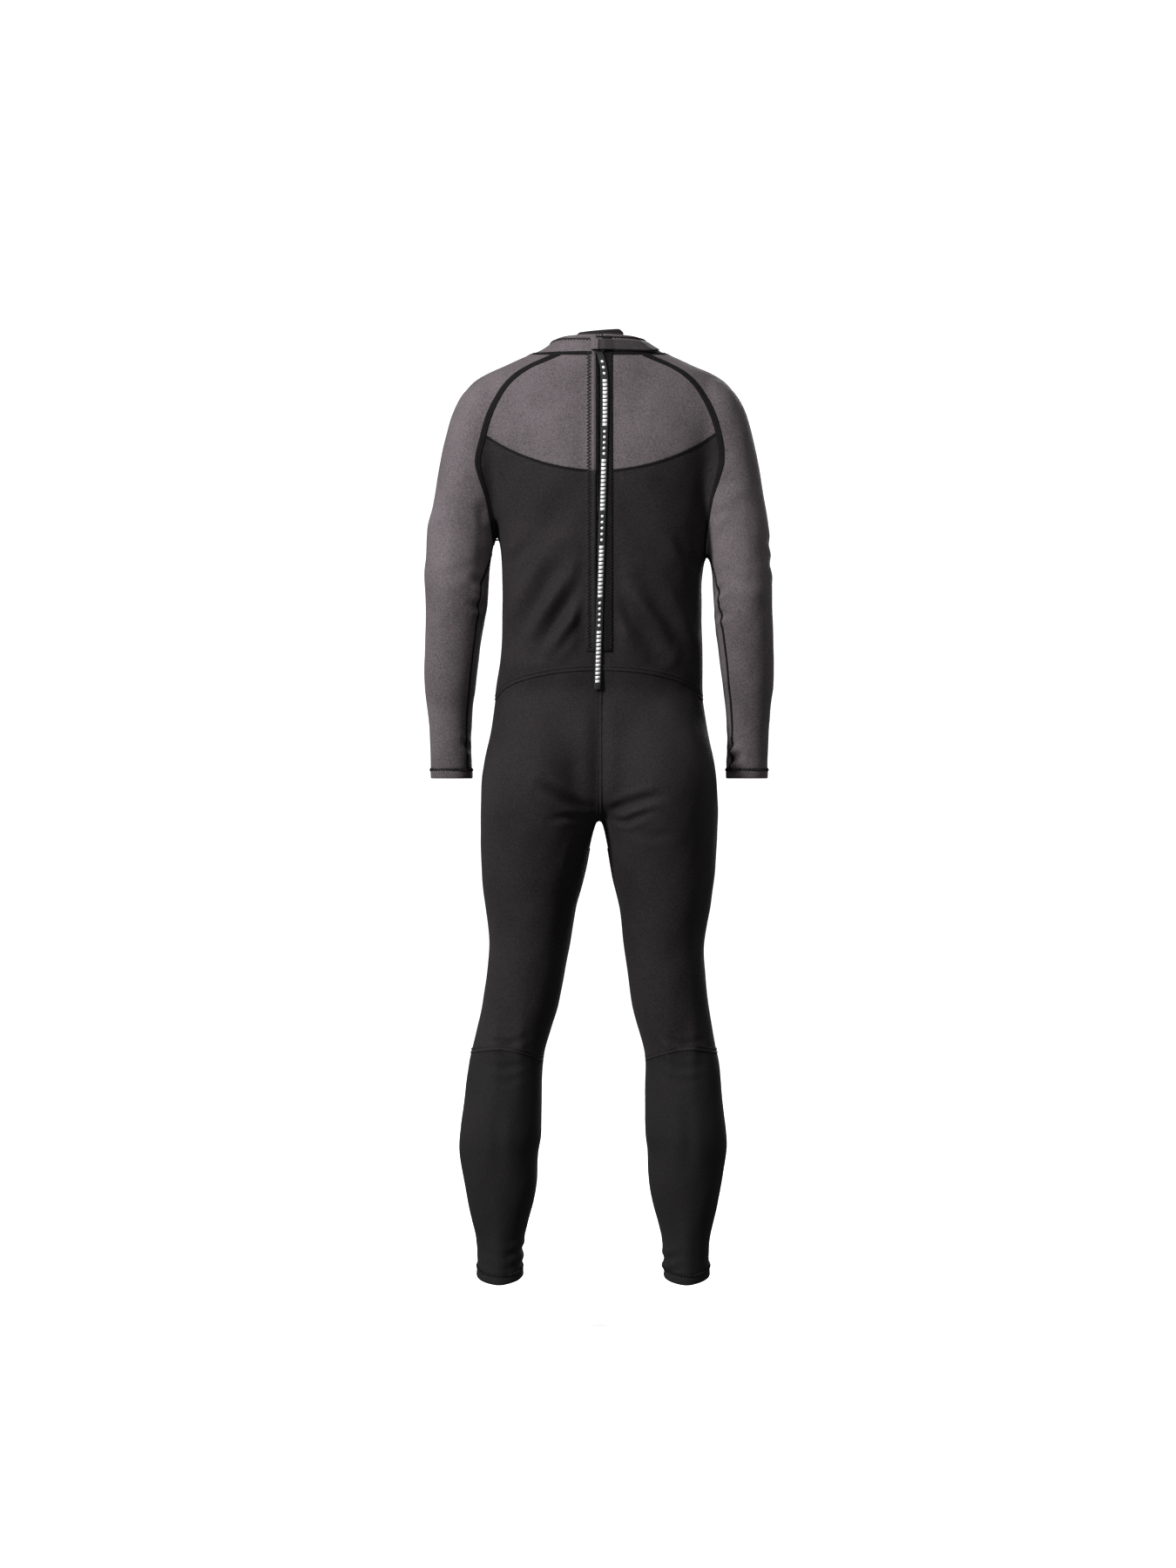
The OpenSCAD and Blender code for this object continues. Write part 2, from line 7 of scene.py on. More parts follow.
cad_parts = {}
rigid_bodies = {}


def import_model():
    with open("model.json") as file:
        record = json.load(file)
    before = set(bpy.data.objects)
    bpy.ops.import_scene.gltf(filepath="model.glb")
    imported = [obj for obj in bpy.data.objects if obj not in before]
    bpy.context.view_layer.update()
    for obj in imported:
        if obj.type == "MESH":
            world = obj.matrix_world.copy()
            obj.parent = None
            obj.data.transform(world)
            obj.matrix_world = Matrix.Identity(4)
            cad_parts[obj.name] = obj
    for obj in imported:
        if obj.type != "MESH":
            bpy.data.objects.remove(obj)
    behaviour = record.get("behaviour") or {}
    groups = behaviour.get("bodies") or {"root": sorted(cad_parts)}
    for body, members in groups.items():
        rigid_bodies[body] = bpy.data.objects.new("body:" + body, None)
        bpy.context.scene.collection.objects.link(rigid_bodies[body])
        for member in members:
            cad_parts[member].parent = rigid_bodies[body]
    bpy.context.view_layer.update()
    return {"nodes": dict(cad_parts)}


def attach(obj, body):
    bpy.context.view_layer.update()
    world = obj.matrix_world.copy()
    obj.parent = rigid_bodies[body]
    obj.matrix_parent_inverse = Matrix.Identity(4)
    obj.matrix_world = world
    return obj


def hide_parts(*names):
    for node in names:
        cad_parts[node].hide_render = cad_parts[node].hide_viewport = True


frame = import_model()
MM = 0.001

# ---- camera
CAM_DIST, CAM_RIGHT, CAM_UP = 6.5, -0.018, -0.696
VIEW_HEIGHT = 2.52
cam = bpy.data.objects.new("camera", bpy.data.cameras.new("camera"))
bpy.context.scene.collection.objects.link(cam)
cam.data.sensor_fit = 'VERTICAL'
cam.data.sensor_height = 36.0
cam.location = (CAM_RIGHT, -CAM_DIST, CAM_UP)
cam.rotation_euler = (math.radians(90), 0, 0)
cam.data.lens = cam.data.sensor_height * CAM_DIST / VIEW_HEIGHT
bpy.context.scene.camera = cam

# ---- the zip's arc, as in the CAD
ARC_R = 1240.0
ARC_Y, ARC_Z = 1129.5307, -319.2072


def zip_y(z):
    return np.sqrt(ARC_R ** 2 - (z - ARC_Z) ** 2) - ARC_Y


def zip_a(z):
    return np.arcsin((ARC_Z - z) / ARC_R)


def on_arc(x, z, out):
    """Point x, z of the zip's arc, moved out by out, all in millimetres."""
    a = zip_a(z)
    return np.array([x + 0 * a, ARC_Y - (ARC_R + out) * np.cos(a), ARC_Z - (ARC_R + out) * np.sin(a)]).T


# ---- the body's form, as in the CAD
# a trunk station: height, half width, depth behind (0: the zip's arc), depth in front, squareness
STATIONS = [
    [45, 62, 0, 50, 2.05], [22, 67, 0, 52, 2.05], [8, 82, 0, 53, 2.1],
    [-2, 98, 0, 54, 2.1], [-12, 124, 0, 55, 2.1], [-24, 150, 0, 57, 2.1],
    [-38, 182, 0, 61, 2.1], [-52, 203, 0, 66, 2.1], [-66, 215, 0, 71, 2.15],
    [-84, 222, 0, 78, 2.2], [-110, 222, 0, 88, 2.25], [-150, 208, 0, 101, 2.35],
    [-190, 190, 0, 111, 2.45], [-240, 177, 0, 118, 2.5], [-300, 168, 0, 119, 2.5],
    [-360, 160, 0, 116, 2.45], [-420, 159, 0, 112, 2.4], [-480, 161, 0, 109, 2.35],
    [-516, 163, 0, 109, 2.35], [-552, 166, 0, 109, 2.3], [-600, 173, 100, 107, 2.3],
    [-640, 180, 110, 104, 2.3], [-680, 184, 114, 98, 2.3], [-706, 181, 113, 94, 2.3],
    [-730, 168, 102, 86, 2.2], [-752, 120, 72, 62, 2.1], [-768, 60, 40, 36, 2.05]]
TORSO = np.array([[z, w, b or zip_y(z), f, e] for z, w, b, f, e in STATIONS], float)
# a limb station: height, centre outward, centre forward, half width, half depth
ARM = np.array([
    [-50, 176, -2, 22, 40], [-66, 180, -4, 36, 50], [-84, 184, -5, 44, 56], [-110, 189, -6, 49.5, 60],
    [-160, 200, -8, 51.5, 62], [-220, 209, -10, 53, 61], [-276, 218, -12, 53, 59], [-332, 223, -14, 51, 56],
    [-360, 227, -15, 50, 54], [-416, 230, -14, 48, 51], [-472, 235, -8, 45, 48], [-528, 239, 2, 42, 45],
    [-584, 240, 13, 37, 41], [-640, 239, 24, 35, 38], [-686, 238, 32, 35.5, 37]], float)
LEG = np.array([
    [-540, 84, 0, 54, 62], [-570, 86, -3, 70, 80], [-604, 89, -8, 81, 94], [-640, 92, -14, 89, 107],
    [-680, 94, -19, 94, 116], [-720, 95, -20, 95.5, 116],
    [-760, 96, -17, 95, 110], [-800, 100.5, -12, 89.5, 101], [-836, 104, -9, 84, 94], [-892, 108, -6, 73, 84],
    [-948, 108, -4, 65, 76], [-1004, 114, -4, 62, 71], [-1060, 123, -6, 60.5, 66], [-1116, 137, -8, 58, 61],
    [-1144, 142, -10, 59, 60], [-1200, 145, -18, 61.5, 62], [-1256, 149, -26, 65, 62],
    [-1284, 151, -28, 63, 60], [-1340, 148, -30, 57, 55], [-1396, 149, -31, 44, 46],
    [-1424, 149, -31, 38, 43], [-1460, 149, -31, 36.5, 42], [-1492, 149, -31, 38, 43.5]], float)


def at(tab, z):
    """The station table's columns at heights z, on a smooth curve."""
    z = np.atleast_1d(np.asarray(z, float))
    zz = tab[:, 0]
    n = len(zz)
    m = np.empty_like(tab[:, 1:])
    for i in range(n):
        a, b = max(i - 1, 0), min(i + 1, n - 1)
        m[i] = (tab[b, 1:] - tab[a, 1:]) / (zz[b] - zz[a])
    i = np.clip(np.searchsorted(-zz, -z, side='right') - 1, 0, n - 2)
    h = (zz[i + 1] - zz[i])[:, None]
    t = np.clip((z - zz[i])[:, None] / h, 0, 1)
    p0, p1 = tab[i, 1:], tab[i + 1, 1:]
    return ((2 * t ** 3 - 3 * t ** 2 + 1) * p0 + (t ** 3 - 2 * t ** 2 + t) * h * m[i]
            + (3 * t ** 2 - 2 * t ** 3) * p1 + (t ** 3 - t ** 2) * h * m[i + 1])


def spow(v, e):
    return np.sign(v) * np.abs(v) ** e


def ring_faces(m, n):
    """Faces between m rings of n points each."""
    f = []
    for j in range(m - 1):
        for i in range(n):
            k = (i + 1) % n
            f.append((j * n + i, j * n + k, (j + 1) * n + k, (j + 1) * n + i))
    return f


def capped_faces(m, n):
    """The same, with a cap at both ends."""
    return ring_faces(m, n) + [tuple(range(n - 1, -1, -1)), tuple((m - 1) * n + i for i in range(n))]


def torso_mesh():
    rings = []
    a = np.linspace(0, 2 * np.pi, 144, endpoint=False)
    for z in np.arange(60, -768.1, -6):
        w, b, f, e = at(TORSO, z)[0]
        ca, sa = spow(np.cos(a), 2 / e), spow(np.sin(a), 2 / e)
        rings.append(np.stack([w * ca, np.where(sa < 0, b, f) * sa, np.full_like(a, z)], 1))
    return np.concatenate(rings), capped_faces(len(rings), len(a))


def limb_mesh(tab, side, top, low):
    a = np.linspace(0, 2 * np.pi, 96, endpoint=False)
    rings = []
    for z in np.arange(top, low - 0.1, -6):
        x, y, w, d = at(tab, max(z, tab[-1, 0]))[0]
        rings.append(np.stack([side * (x + w * np.cos(a)), y + d * np.sin(a), np.full_like(a, z)], 1))
    f = capped_faces(len(rings), len(a))
    return np.concatenate(rings), f if side > 0 else [q[::-1] for q in f]


def mesh_object(name, verts_mm, faces):
    me = bpy.data.meshes.new(name)
    me.from_pydata((np.asarray(verts_mm) * MM).tolist(), [], faces)
    me.update()
    me.polygons.foreach_set("use_smooth", [True] * len(me.polygons))
    ob = bpy.data.objects.new(name, me)
    bpy.context.scene.collection.objects.link(ob)
    return ob


parts = [torso_mesh()]
for side in (-1, 1):
    parts.append(limb_mesh(ARM, side, -50, -704))
    parts.append(limb_mesh(LEG, side, -540, -1510))
vs, fs, base = [], [], 0
for v, f in parts:
    vs.append(v)
    fs += [tuple(i + base for i in q) for q in f]
    base += len(v)
form = mesh_object("form", np.concatenate(vs), fs)
VOXEL = 0.004
mod = form.modifiers.new("remesh", 'REMESH')
mod.mode, mod.voxel_size = 'VOXEL', VOXEL
me = bpy.data.meshes.new_from_object(form.evaluated_get(bpy.context.evaluated_depsgraph_get()))
bpy.data.objects.remove(form)
V = np.empty(len(me.vertices) * 3)
me.vertices.foreach_get("co", V)
V = V.reshape(-1, 3) / MM
E = np.empty(len(me.edges) * 2, int)
me.edges.foreach_get("vertices", E)
E = E.reshape(-1, 2)
F = [tuple(p.vertices) for p in me.polygons]


def ease(v, a, b):
    t = np.clip((v - a) / (b - a), 0, 1)
    return t * t * (3 - 2 * t)


# smoothing: everywhere a little, more where the limbs meet the trunk
deg = np.bincount(E.ravel(), minlength=len(V)).astype(float)[:, None]


def average(P):
    out = np.empty_like(P)
    for k in range(3):
        out[:, k] = np.bincount(E[:, 0], P[E[:, 1], k], len(P)) + np.bincount(E[:, 1], P[E[:, 0], k], len(P))
    return out / deg


def taubin(P, n):
    """Smooths without shrinking: each pass is followed by a slightly larger step back."""
    for _ in range(n):
        P = P + 0.5 * (average(P) - P)
        P = P - 0.52 * (average(P) - P)
    return P


ax, zz = np.abs(V[:, 0]), V[:, 2]
seat_w = ease(zz, -860, -800) * (1 - ease(zz, -590, -540))
pit_w = ease(ax, 120, 150) * (1 - ease(ax, 215, 235)) * ease(zz, -380, -350) * (1 - ease(zz, -120, -60))
V = taubin(V, 6)
w = np.clip(0.8 * seat_w + 0.6 * pit_w, 0, 1)[:, None]
for _ in range(60 if VOXEL < 0.005 else 27):
    V = V + 0.5 * w * (average(V) - V)
V = taubin(V, 4)


def unit(v):
    return v / np.maximum(np.linalg.norm(v, axis=1), 1e-9)[:, None]


def normals(P):
    """Vertex normals of the faces F, weighted by area."""
    most = max(map(len, F))
    tri = np.array([(q[0], q[k], q[k + 1]) for k in range(1, most - 1) for q in F if len(q) > k + 1])
    n = np.cross(P[tri[:, 1]] - P[tri[:, 0]], P[tri[:, 2]] - P[tri[:, 0]])
    total = [sum(np.bincount(tri[:, c], n[:, k], len(P)) for c in range(3)) for k in range(3)]
    return unit(np.stack(total, 1))


N = normals(V)


# ---- folds and the shape under the cloth
def seg_dist(P, a, b):
    """Distance of the points P (n, 2) from the segment a-b, and the share along it."""
    a, b = np.array(a, float), np.array(b, float)
    d = b - a
    t = np.clip(((P - a) @ d) / (d @ d), 0, 1)
    return np.linalg.norm(P - a - t[:, None] * d, axis=1), t


def line_dist(P, pts):
    """Distance from a polyline, and the share along its length."""
    lens = [math.dist(p, q) for p, q in zip(pts, pts[1:])]
    total, run = sum(lens), 0.0
    best, share = np.full(len(P), 1e9), np.zeros(len(P))
    for p, q, l in zip(pts, pts[1:], lens):
        d, t = seg_dist(P, p, q)
        near = d < best
        best = np.where(near, d, best)
        share = np.where(near, (run + t * l) / total, share)
        run += l
    return best, share


XZ = V[:, [0, 2]]
facing_back = np.clip(-N[:, 1] * 1.6, 0, 1)
facing_front = np.clip(N[:, 1] * 1.6, 0, 1)
push = np.zeros(len(V))


def fold(pts, width, depth, where, plane=XZ, lip=0.45):
    """A valley along pts with a soft ridge on both sides."""
    d, t = line_dist(plane, pts)
    ends = np.sin(np.pi * np.clip(t, 0.02, 0.98)) ** 0.6
    s = d / width
    push[:] += ends * where * depth * (-np.exp(-s * s) + lip * np.exp(-((s - 1.7) / 0.8) ** 2))


def bump(x, z, rx, rz, height, where):
    """A soft swelling, or a hollow where height is negative."""
    push[:] += where * height * np.exp(-((V[:, 0] - x) / rx) ** 2 - ((V[:, 2] - z) / rz) ** 2)


trunk = 1 - ease(ax, 165, 190)
back = facing_back * trunk
front = facing_front * trunk
# shoulder blades, the hollow of the spine, and the muscles beside it
for s in (-1, 1):
    bump(s * 88, -150, 52, 75, 5, back)
    bump(s * 45, -430, 26, 90, 3.0, back)
bump(0, -330, 17, 190, -3.2, back)
# chest and belly
for s in (-1, 1):
    bump(s * 72, -165, 62, 55, 7, front)
bump(0, -180, 15, 90, -3, front)
# lower back folds, running to the waist's middle
fold([(-28, -372), (-60, -420), (-104, -486)], 14, 9.5, back, lip=1.0)
fold([(-58, -340), (-98, -405), (-140, -478)], 18, 6.4, back, lip=0.9)
fold([(-32, -436), (-56, -468), (-84, -500)], 9, 3.6, back)
fold([(22, -388), (52, -436), (96, -488)], 14, 7.8, back, lip=0.8)
fold([(70, -372), (112, -446), (142, -500)], 13, 4.0, back, lip=0.7)
fold([(-40, -232), (-74, -275), (-112, -330)], 22, 2.6, back)
fold([(36, -250), (70, -300), (104, -350)], 22, 2.4, back)
fold([(-116, -312), (-148, -352)], 9, 3.0, back)
fold([(114, -300), (148, -350)], 9, 3.2, back)
# the seat's middle and the creases under it
seat = facing_back * (ax < 190)
fold([(0, -560), (0, -650), (0, -745)], 13, 7.5, seat, lip=0.1)
fold([(-12, -742), (-52, -722), (-92, -698)], 9, 7.0, seat)
fold([(-12, -752), (-50, -748), (-80, -752)], 6, 2.4, seat)
fold([(12, -742), (50, -726), (96, -714)], 8, 6.0, seat)
fold([(10, -752), (44, -756), (84, -738)], 6, 3.4, seat)
fold([(40, -766), (80, -780), (120, -775)], 8, 1.2, seat)
fold([(-18, -770), (-34, -800), (-40, -840)], 9, 2.0, seat)
fold([(16, -774), (26, -806), (34, -850)], 8, 1.6, seat)
for s in (-1, 1):
    bump(s * 78, -655, 48, 50, 4, seat)
# front of the hip and the crotch
for s in (-1, 1):
    fold([(s * 120, -600), (s * 70, -680), (s * 22, -738)], 12, 4.0, facing_front)
    fold([(s * 96, -640), (s * 52, -706), (s * 16, -748)], 6, 2.0, facing_front)
    fold([(s * 60, -470), (s * 110, -520)], 12, 1.8, front)
# knees: hollow behind, cap in front
for s in (-1, 1):
    bump(s * 138, -1125, 34, 60, -3.5, facing_back)
    bump(s * 140, -1118, 30, 46, 7, facing_front)
    bump(s * 118, -1120, 9, 70, 2.5, facing_back)
    bump(s * 158, -1120, 9, 70, 2.5, facing_back)
    for za, zb, d in [(-1098, -1112, 1.8), (-1140, -1148, 1.5), (-1160, -1172, 1.0)]:
        fold([(s * 108, za), (s * 138, zb), (s * 172, za - 6)], 6, d, facing_back)
    for za, d in [(-1070, 1.6), (-1150, 1.8), (-1172, 1.2)]:
        fold([(s * 108, za), (s * 140, za - 8), (s * 176, za)], 7, d, facing_front)
    # calf
    bump(s * 134, -1262, 22, 70, 3.5, facing_back)
    bump(s * 168, -1250, 18, 60, 3.0, facing_back)
    fold([(s * 149, -1215), (s * 151, -1262), (s * 149, -1310)], 9, 1.2, facing_back)
    bump(s * 149, -1450, 11, 70, 3.0, facing_back)
fold([(-106, -1132), (-128, -1122), (-150, -1119)], 5, 1.5, facing_back)
fold([(110, -1072), (122, -1100), (128, -1124)], 8, 1.4, facing_back)
# ankles bunch a little on the inner and outer side
for s, za in ((-1, -1442), (-1, -1464), (1, -1448), (1, -1470)):
    d = zz - (za + 5 * np.sin(V[:, 0] * 0.09 + s))
    inner = np.clip(-s * (V[:, 0] - s * 149) / 30, 0.15, 1)
    crease = -1.8 * np.exp(-(d / 4.5) ** 2) + 1.6 * np.exp(-((d - 9) / 5) ** 2)
    push += (s * V[:, 0] > 0) * (zz < -1410) * inner * crease
# sleeves
arm = ease(ax - 20 * ease(-zz, 420, 560), 178, 196) * (zz < -120) * (zz > -700)
side_of = np.sign(V[:, 0])
c = at(ARM, np.clip(zz, -686, -50))
u = (ax - c[:, 0]) / c[:, 2]          # -1 inside, +1 outside
v = (V[:, 1] - c[:, 1]) / c[:, 3]     # -1 back, +1 front
ROLL = 45                             # the sleeve's radius where it is laid out flat
UZ = np.stack([np.arctan2(v, u) * ROLL, zz], 1)


def arm_fold(side, ang0, z0, ang1, z1, width, depth, gain=1.7):
    """A fold round the sleeve between two angles in degrees: 0 outside, 90 front, 180 inside, -90 back."""
    where = arm * (side_of == side)
    a0, a1 = math.radians(ang0) * ROLL, math.radians(ang1) * ROLL
    mid = ((a0 + a1) / 2, (z0 + z1) / 2 - 6)
    fold([(a0, z0), mid, (a1, z1)], width, depth * gain, where, plane=UZ, lip=0.7)


# angle and height of both ends, width, depth and gain: the elbow's inner bend
ELBOW = ((178, -372, 70, -352, 9, 4.2), (178, -398, 60, -404, 8, 3.4), (178, -424, 66, -440, 8, 2.2),
         (178, -340, 84, -322, 9, 2.0), (-178, -378, -128, -368, 7, 2.2), (-178, -404, -122, -410, 7, 1.8),
         (-120, -352, -50, -362, 10, 1.3, 0.8))
WRIST_AND_ARMPIT = ((178, -622, 100, -610, 7, 2.4), (178, -646, 96, -640, 6, 2.8),
                    (-178, -640, -130, -628, 6, 1.8), (176, -300, 110, -262, 9, 3.0),
                    (-176, -292, -120, -256, 9, 2.2), (-150, -240, -80, -205, 12, 1.4))
for side, dz in ((-1, 0), (1, -14)):
    for ang0, z0, ang1, z1, *rest in ELBOW:
        arm_fold(side, ang0, z0 + dz, ang1, z1 + dz, *rest)
    for crease in WRIST_AND_ARMPIT:
        arm_fold(side, *crease)
    # point of the elbow
    turn = (UZ[:, 0] + math.radians(80) * ROLL) / 24
    push += arm * (side_of == side) * 3.2 * np.exp(-turn ** 2 - ((zz + 392) / 34) ** 2)
arm_fold(1, -30, -300, 30, -318, 9, 1.3, 1.0)
arm_fold(1, -24, -336, 40, -348, 10, 1.5, 1.0)
arm_fold(-1, -176, -268, -140, -262, 5, 2.6)
arm_fold(1, -178, -646, -112, -652, 7, 3.6)
# the whole skin: broad, faint unevenness
x, y, z = V.T
push += (0.45 * np.sin(x * 0.061 + 1.3 * np.sin(z * 0.017)) * np.sin(z * 0.043 + y * 0.05)
         + 0.25 * np.sin(x * 0.13 + z * 0.021 + 2.0) * np.sin(z * 0.09 - y * 0.08))
# the zip and the ends keep their true shape
calm = 1 - (1 - ease(ax, 24, 44)) * ease(zz, -512, -488) * (V[:, 1] < 0)
calm *= 1 - ease(zz, -38, -20)
V = V + N * (push * calm)[:, None]
# the wearer's trunk stands a little to the right of the zip's line
x, y, z = V.T
trunk_side = (1 - ease(ax, 172, 190)) * ease(ax, 40, 150) * ease(z, -560, -470) * (1 - ease(z, -290, -235))
x += 4.5 * trunk_side
# the left arm stands off the trunk from higher up
x -= 4.0 * (x < 0) * ease(ax, 172, 186) * ease(z, -420, -340) * (1 - ease(z, -285, -250))
# the gap beside the left arm and the one between the legs reach higher, the one on the right a little lower
web = np.exp(-((ax - 168) / 14) ** 2) * ease(-z, 262, 318) * (1 - ease(-z, 345, 420))
z += web * np.where(x < 0, 24, -8)
z += 22 * np.exp(-(x / 18) ** 2) * ease(-z, 735, 780) * (1 - ease(-z, 800, 880))
V = taubin(V, 2)
N = normals(V)

# ---- the lines that the seams follow
# the trunk's outline from behind, (x, z), with the raglan seam as its upper part
OUTLINE = [(46, 6), (64, -3), (80, -10), (98, -17.5), (116, -25), (132, -34), (146, -45), (158, -58),
           (169, -75), (178, -92), (186, -112), (192, -134), (195.5, -156), (195, -182), (188, -208),
           (180, -236), (173, -275), (168, -318), (171, -440), (188, -600), (198, -720), (500, -720)]
# the collar's edge and its seam from the side, (y, z)
NECKLINE = [(-400, 20), (-70, 20), (-40, 19), (-10, 17), (12, 12), (30, 0), (45, -14), (60, -24), (400, -26)]
COLLAR = [(-400, -11), (-75, -11), (-40, -9), (-10, -6), (10, -10),
          (30, -22), (50, -42), (70, -56), (400, -58)]
CUFF_Z, HEM = -686, 13
YOKE_Z, YOKE_R = -201, 309
WAIST_Z, WAIST_RX, WAIST_RZ = -512, 162, 45
KNEE_X, KNEE_Z, KNEE_R = 152, -1116, 130
PAD_X, PAD_Z, PAD_RX, PAD_RZ = 137, -1135, 50, 88
SLOT_L, SLOT_R, SLOT_LOW = -5.6, 7.0, -489


# each g function is zero on one line, positive on one side of it and roughly a distance near it
def g_outline(P):
    """Distance outside the torso's outline: positive in the arms."""
    lean = np.where(P[:, 0] < 0, 8.0, 2.0) * ease(P[:, 2], -195, -140)
    Q = np.stack([np.abs(P[:, 0]) + lean, P[:, 2] + 4 * ease(P[:, 2], -260, -180)], 1)
    d, _ = line_dist(Q, [(50, 400)] + OUTLINE)
    poly = [(50, 400)] + OUTLINE + [(500, 400)]
    inside = np.zeros(len(Q), bool)
    for (x0, z0), (x1, z1) in zip(poly, poly[1:] + poly[:1]):
        hit = (z0 > Q[:, 1]) != (z1 > Q[:, 1])
        if z0 != z1:
            inside ^= hit & (Q[:, 0] < x0 + (Q[:, 1] - z0) / (z1 - z0) * (x1 - x0))
    return np.where(inside, d, -d)


def g_collar(P):
    return P[:, 2] - np.interp(P[:, 1], *zip(*COLLAR))


def g_neck(P):
    return P[:, 2] - np.interp(P[:, 1], *zip(*NECKLINE))


def g_yoke(P):
    return YOKE_R - np.hypot(P[:, 0], P[:, 2] - YOKE_Z - YOKE_R)


def g_waist(P):
    """Positive below the waist seam."""
    z0 = WAIST_Z - WAIST_RZ
    arch = z0 + WAIST_RZ * np.sqrt(np.clip(1 - (P[:, 0] / WAIST_RX) ** 2, 0, 1))
    return (arch - P[:, 2]) / np.sqrt(1 + 0.25 * (P[:, 0] / 100) ** 2)


def g_knee(P):
    return KNEE_R - np.hypot(np.abs(P[:, 0]) - KNEE_X, P[:, 2] - KNEE_Z + KNEE_R)


def g_pad(P):
    """Roughly the distance inside the knee pad's oval."""
    return (1 - np.hypot((np.abs(P[:, 0]) - PAD_X) / PAD_RX, (P[:, 2] - PAD_Z) / PAD_RZ)) * 60


def hem_tilt(P):
    """The ankle hem is lower at the heel than in front."""
    return P[:, 2] - (-1478 + 0.30 * np.clip(P[:, 1] + 31, -48, 48))


SNAP, PROBE = 0.55, 0.05              # vertices this near a line move onto it; the step of its slope
bm = bmesh.new()
for p in V:
    bm.verts.new(p)
bm.verts.ensure_lookup_table()
for q in F:
    bm.faces.new([bm.verts[i] for i in q])


def positions():
    return np.array([v.co[:] for v in bm.verts])


def cut(g, low=-1600, top=100, inner=-1, outer=400, also=None):
    """Splits the skin's faces where g changes sign, between two heights and two distances from the middle."""
    bm.verts.index_update()
    bm.verts.ensure_lookup_table()
    bm.edges.ensure_lookup_table()
    P = positions()
    val, away = g(P), np.abs(P[:, 0])
    ok = (P[:, 2] > low) & (P[:, 2] < top) & (away > inner) & (away < outer)
    if also:
        ok &= also(P)
    near = ok & (np.abs(val) < SNAP)
    for i in np.nonzero(near)[0]:
        v = bm.verts[i]
        p = P[i]
        grad = (g(p + PROBE * np.eye(3)) - val[i]) / PROBE
        n = N[i] if v.normal.length <= 0.5 and i < len(N) else np.array(v.normal)
        grad = grad - n * (grad @ n)
        s = grad @ grad
        if s > 0.05:
            v.co = p - grad * val[i] / s
        val[i] = 0.0
    ends = np.array([(e.verts[0].index, e.verts[1].index) for e in bm.edges])
    cross = ok[ends[:, 0]] & ok[ends[:, 1]] & (val[ends[:, 0]] * val[ends[:, 1]] < 0)
    zero = {bm.verts[i] for i in np.nonzero(near)[0]}
    jobs = [(bm.edges[k], bm.verts[ends[k, 0]], *val[ends[k]]) for k in np.nonzero(cross)[0]]
    for e, v0, a, b in jobs:
        zero.add(bmesh.utils.edge_split(e, v0, float(a / (a - b)))[1])
    bmesh.ops.connect_verts(bm, verts=list(zero), check_degenerate=True)


bm.normal_update()
cut(g_neck, low=-60, outer=150)
cut(g_collar, low=-90, outer=170)
cut(g_outline, low=-420, inner=40, also=lambda P: g_collar(P) < 12)
cut(g_yoke, low=-230, top=-90, also=lambda P: g_outline(P) < 8)
cut(g_waist, low=-580, top=-490, outer=182)
cut(lambda P: P[:, 2] - CUFF_Z, low=-700, top=-660, inner=192)
cut(lambda P: P[:, 2] - CUFF_Z - HEM, low=-700, top=-650, inner=192)
cut(hem_tilt, top=-1440)
cut(lambda P: hem_tilt(P) - HEM, top=-1430)
cut(lambda P: P[:, 1], low=-575, top=-150, also=lambda P: g_outline(P) < 6)
cut(g_pad, low=-1250, top=-1020, also=lambda P: P[:, 1] > -6)
cut(g_knee, low=-1180, top=-1080)
cut(lambda P: P[:, 0], low=-790, top=-520)
for edge in (SLOT_L, SLOT_R):
    cut(lambda P: P[:, 0] - edge, low=SLOT_LOW - 12, outer=20, also=lambda P: P[:, 1] < 0)
cut(lambda P: P[:, 2] - SLOT_LOW, low=SLOT_LOW - 12, top=SLOT_LOW + 12, outer=12, also=lambda P: P[:, 1] < 0)
bmesh.ops.remove_doubles(bm, verts=bm.verts, dist=0.02)
bm.verts.index_update()
bm.faces.ensure_lookup_table()
V = positions()
F = [[v.index for v in f.verts] for f in bm.faces]
bm.free()
C = np.array([V[q].mean(0) for q in F])

# ---- which panel each face belongs to
out, col, neck, yoke, waist = g_outline(C), g_collar(C), g_neck(C), g_yoke(C), g_waist(C)
knee, pad, hem = g_knee(C), g_pad(C), hem_tilt(C)
side = np.where(C[:, 0] < 0, "left", "right")
is_back = C[:, 1] < 0
slot = is_back & (C[:, 0] > SLOT_L) & (C[:, 0] < SLOT_R) & (C[:, 2] > SLOT_LOW)
panel = []
for i in range(len(C)):
    s, z = side[i], C[i, 2]
    if neck[i] > 0 or slot[i] or (z < -1400 and hem[i] < 0) or (out[i] > 0 and z > -720 and z < CUFF_Z):
        panel.append(None)
    elif col[i] > 0:
        panel.append("collar")
    elif out[i] > 0 and z > -720:
        panel.append(("cuff_hem_" if z < CUFF_Z + HEM else "sleeve_") + s)
    elif waist[i] < 0 and z > -600:
        if yoke[i] > 0:
            panel.append("back_yoke_" + s if is_back[i] else "front_yoke")
        else:
            panel.append("back_panel_" + s if is_back[i] else "front_panel")
    elif pad[i] > 0 and not is_back[i]:
        panel.append("knee_pad_" + s)
    elif z < -1400 and hem[i] < HEM:
        panel.append("ankle_hem_" + s)
    else:
        panel.append(("lower_leg_" if knee[i] > 0 or z < -1250 else "leg_panel_") + s)

N = normals(V)
SKIN = BVHTree.FromPolygons(V.tolist(), [q for q, p in zip(F, panel) if p])


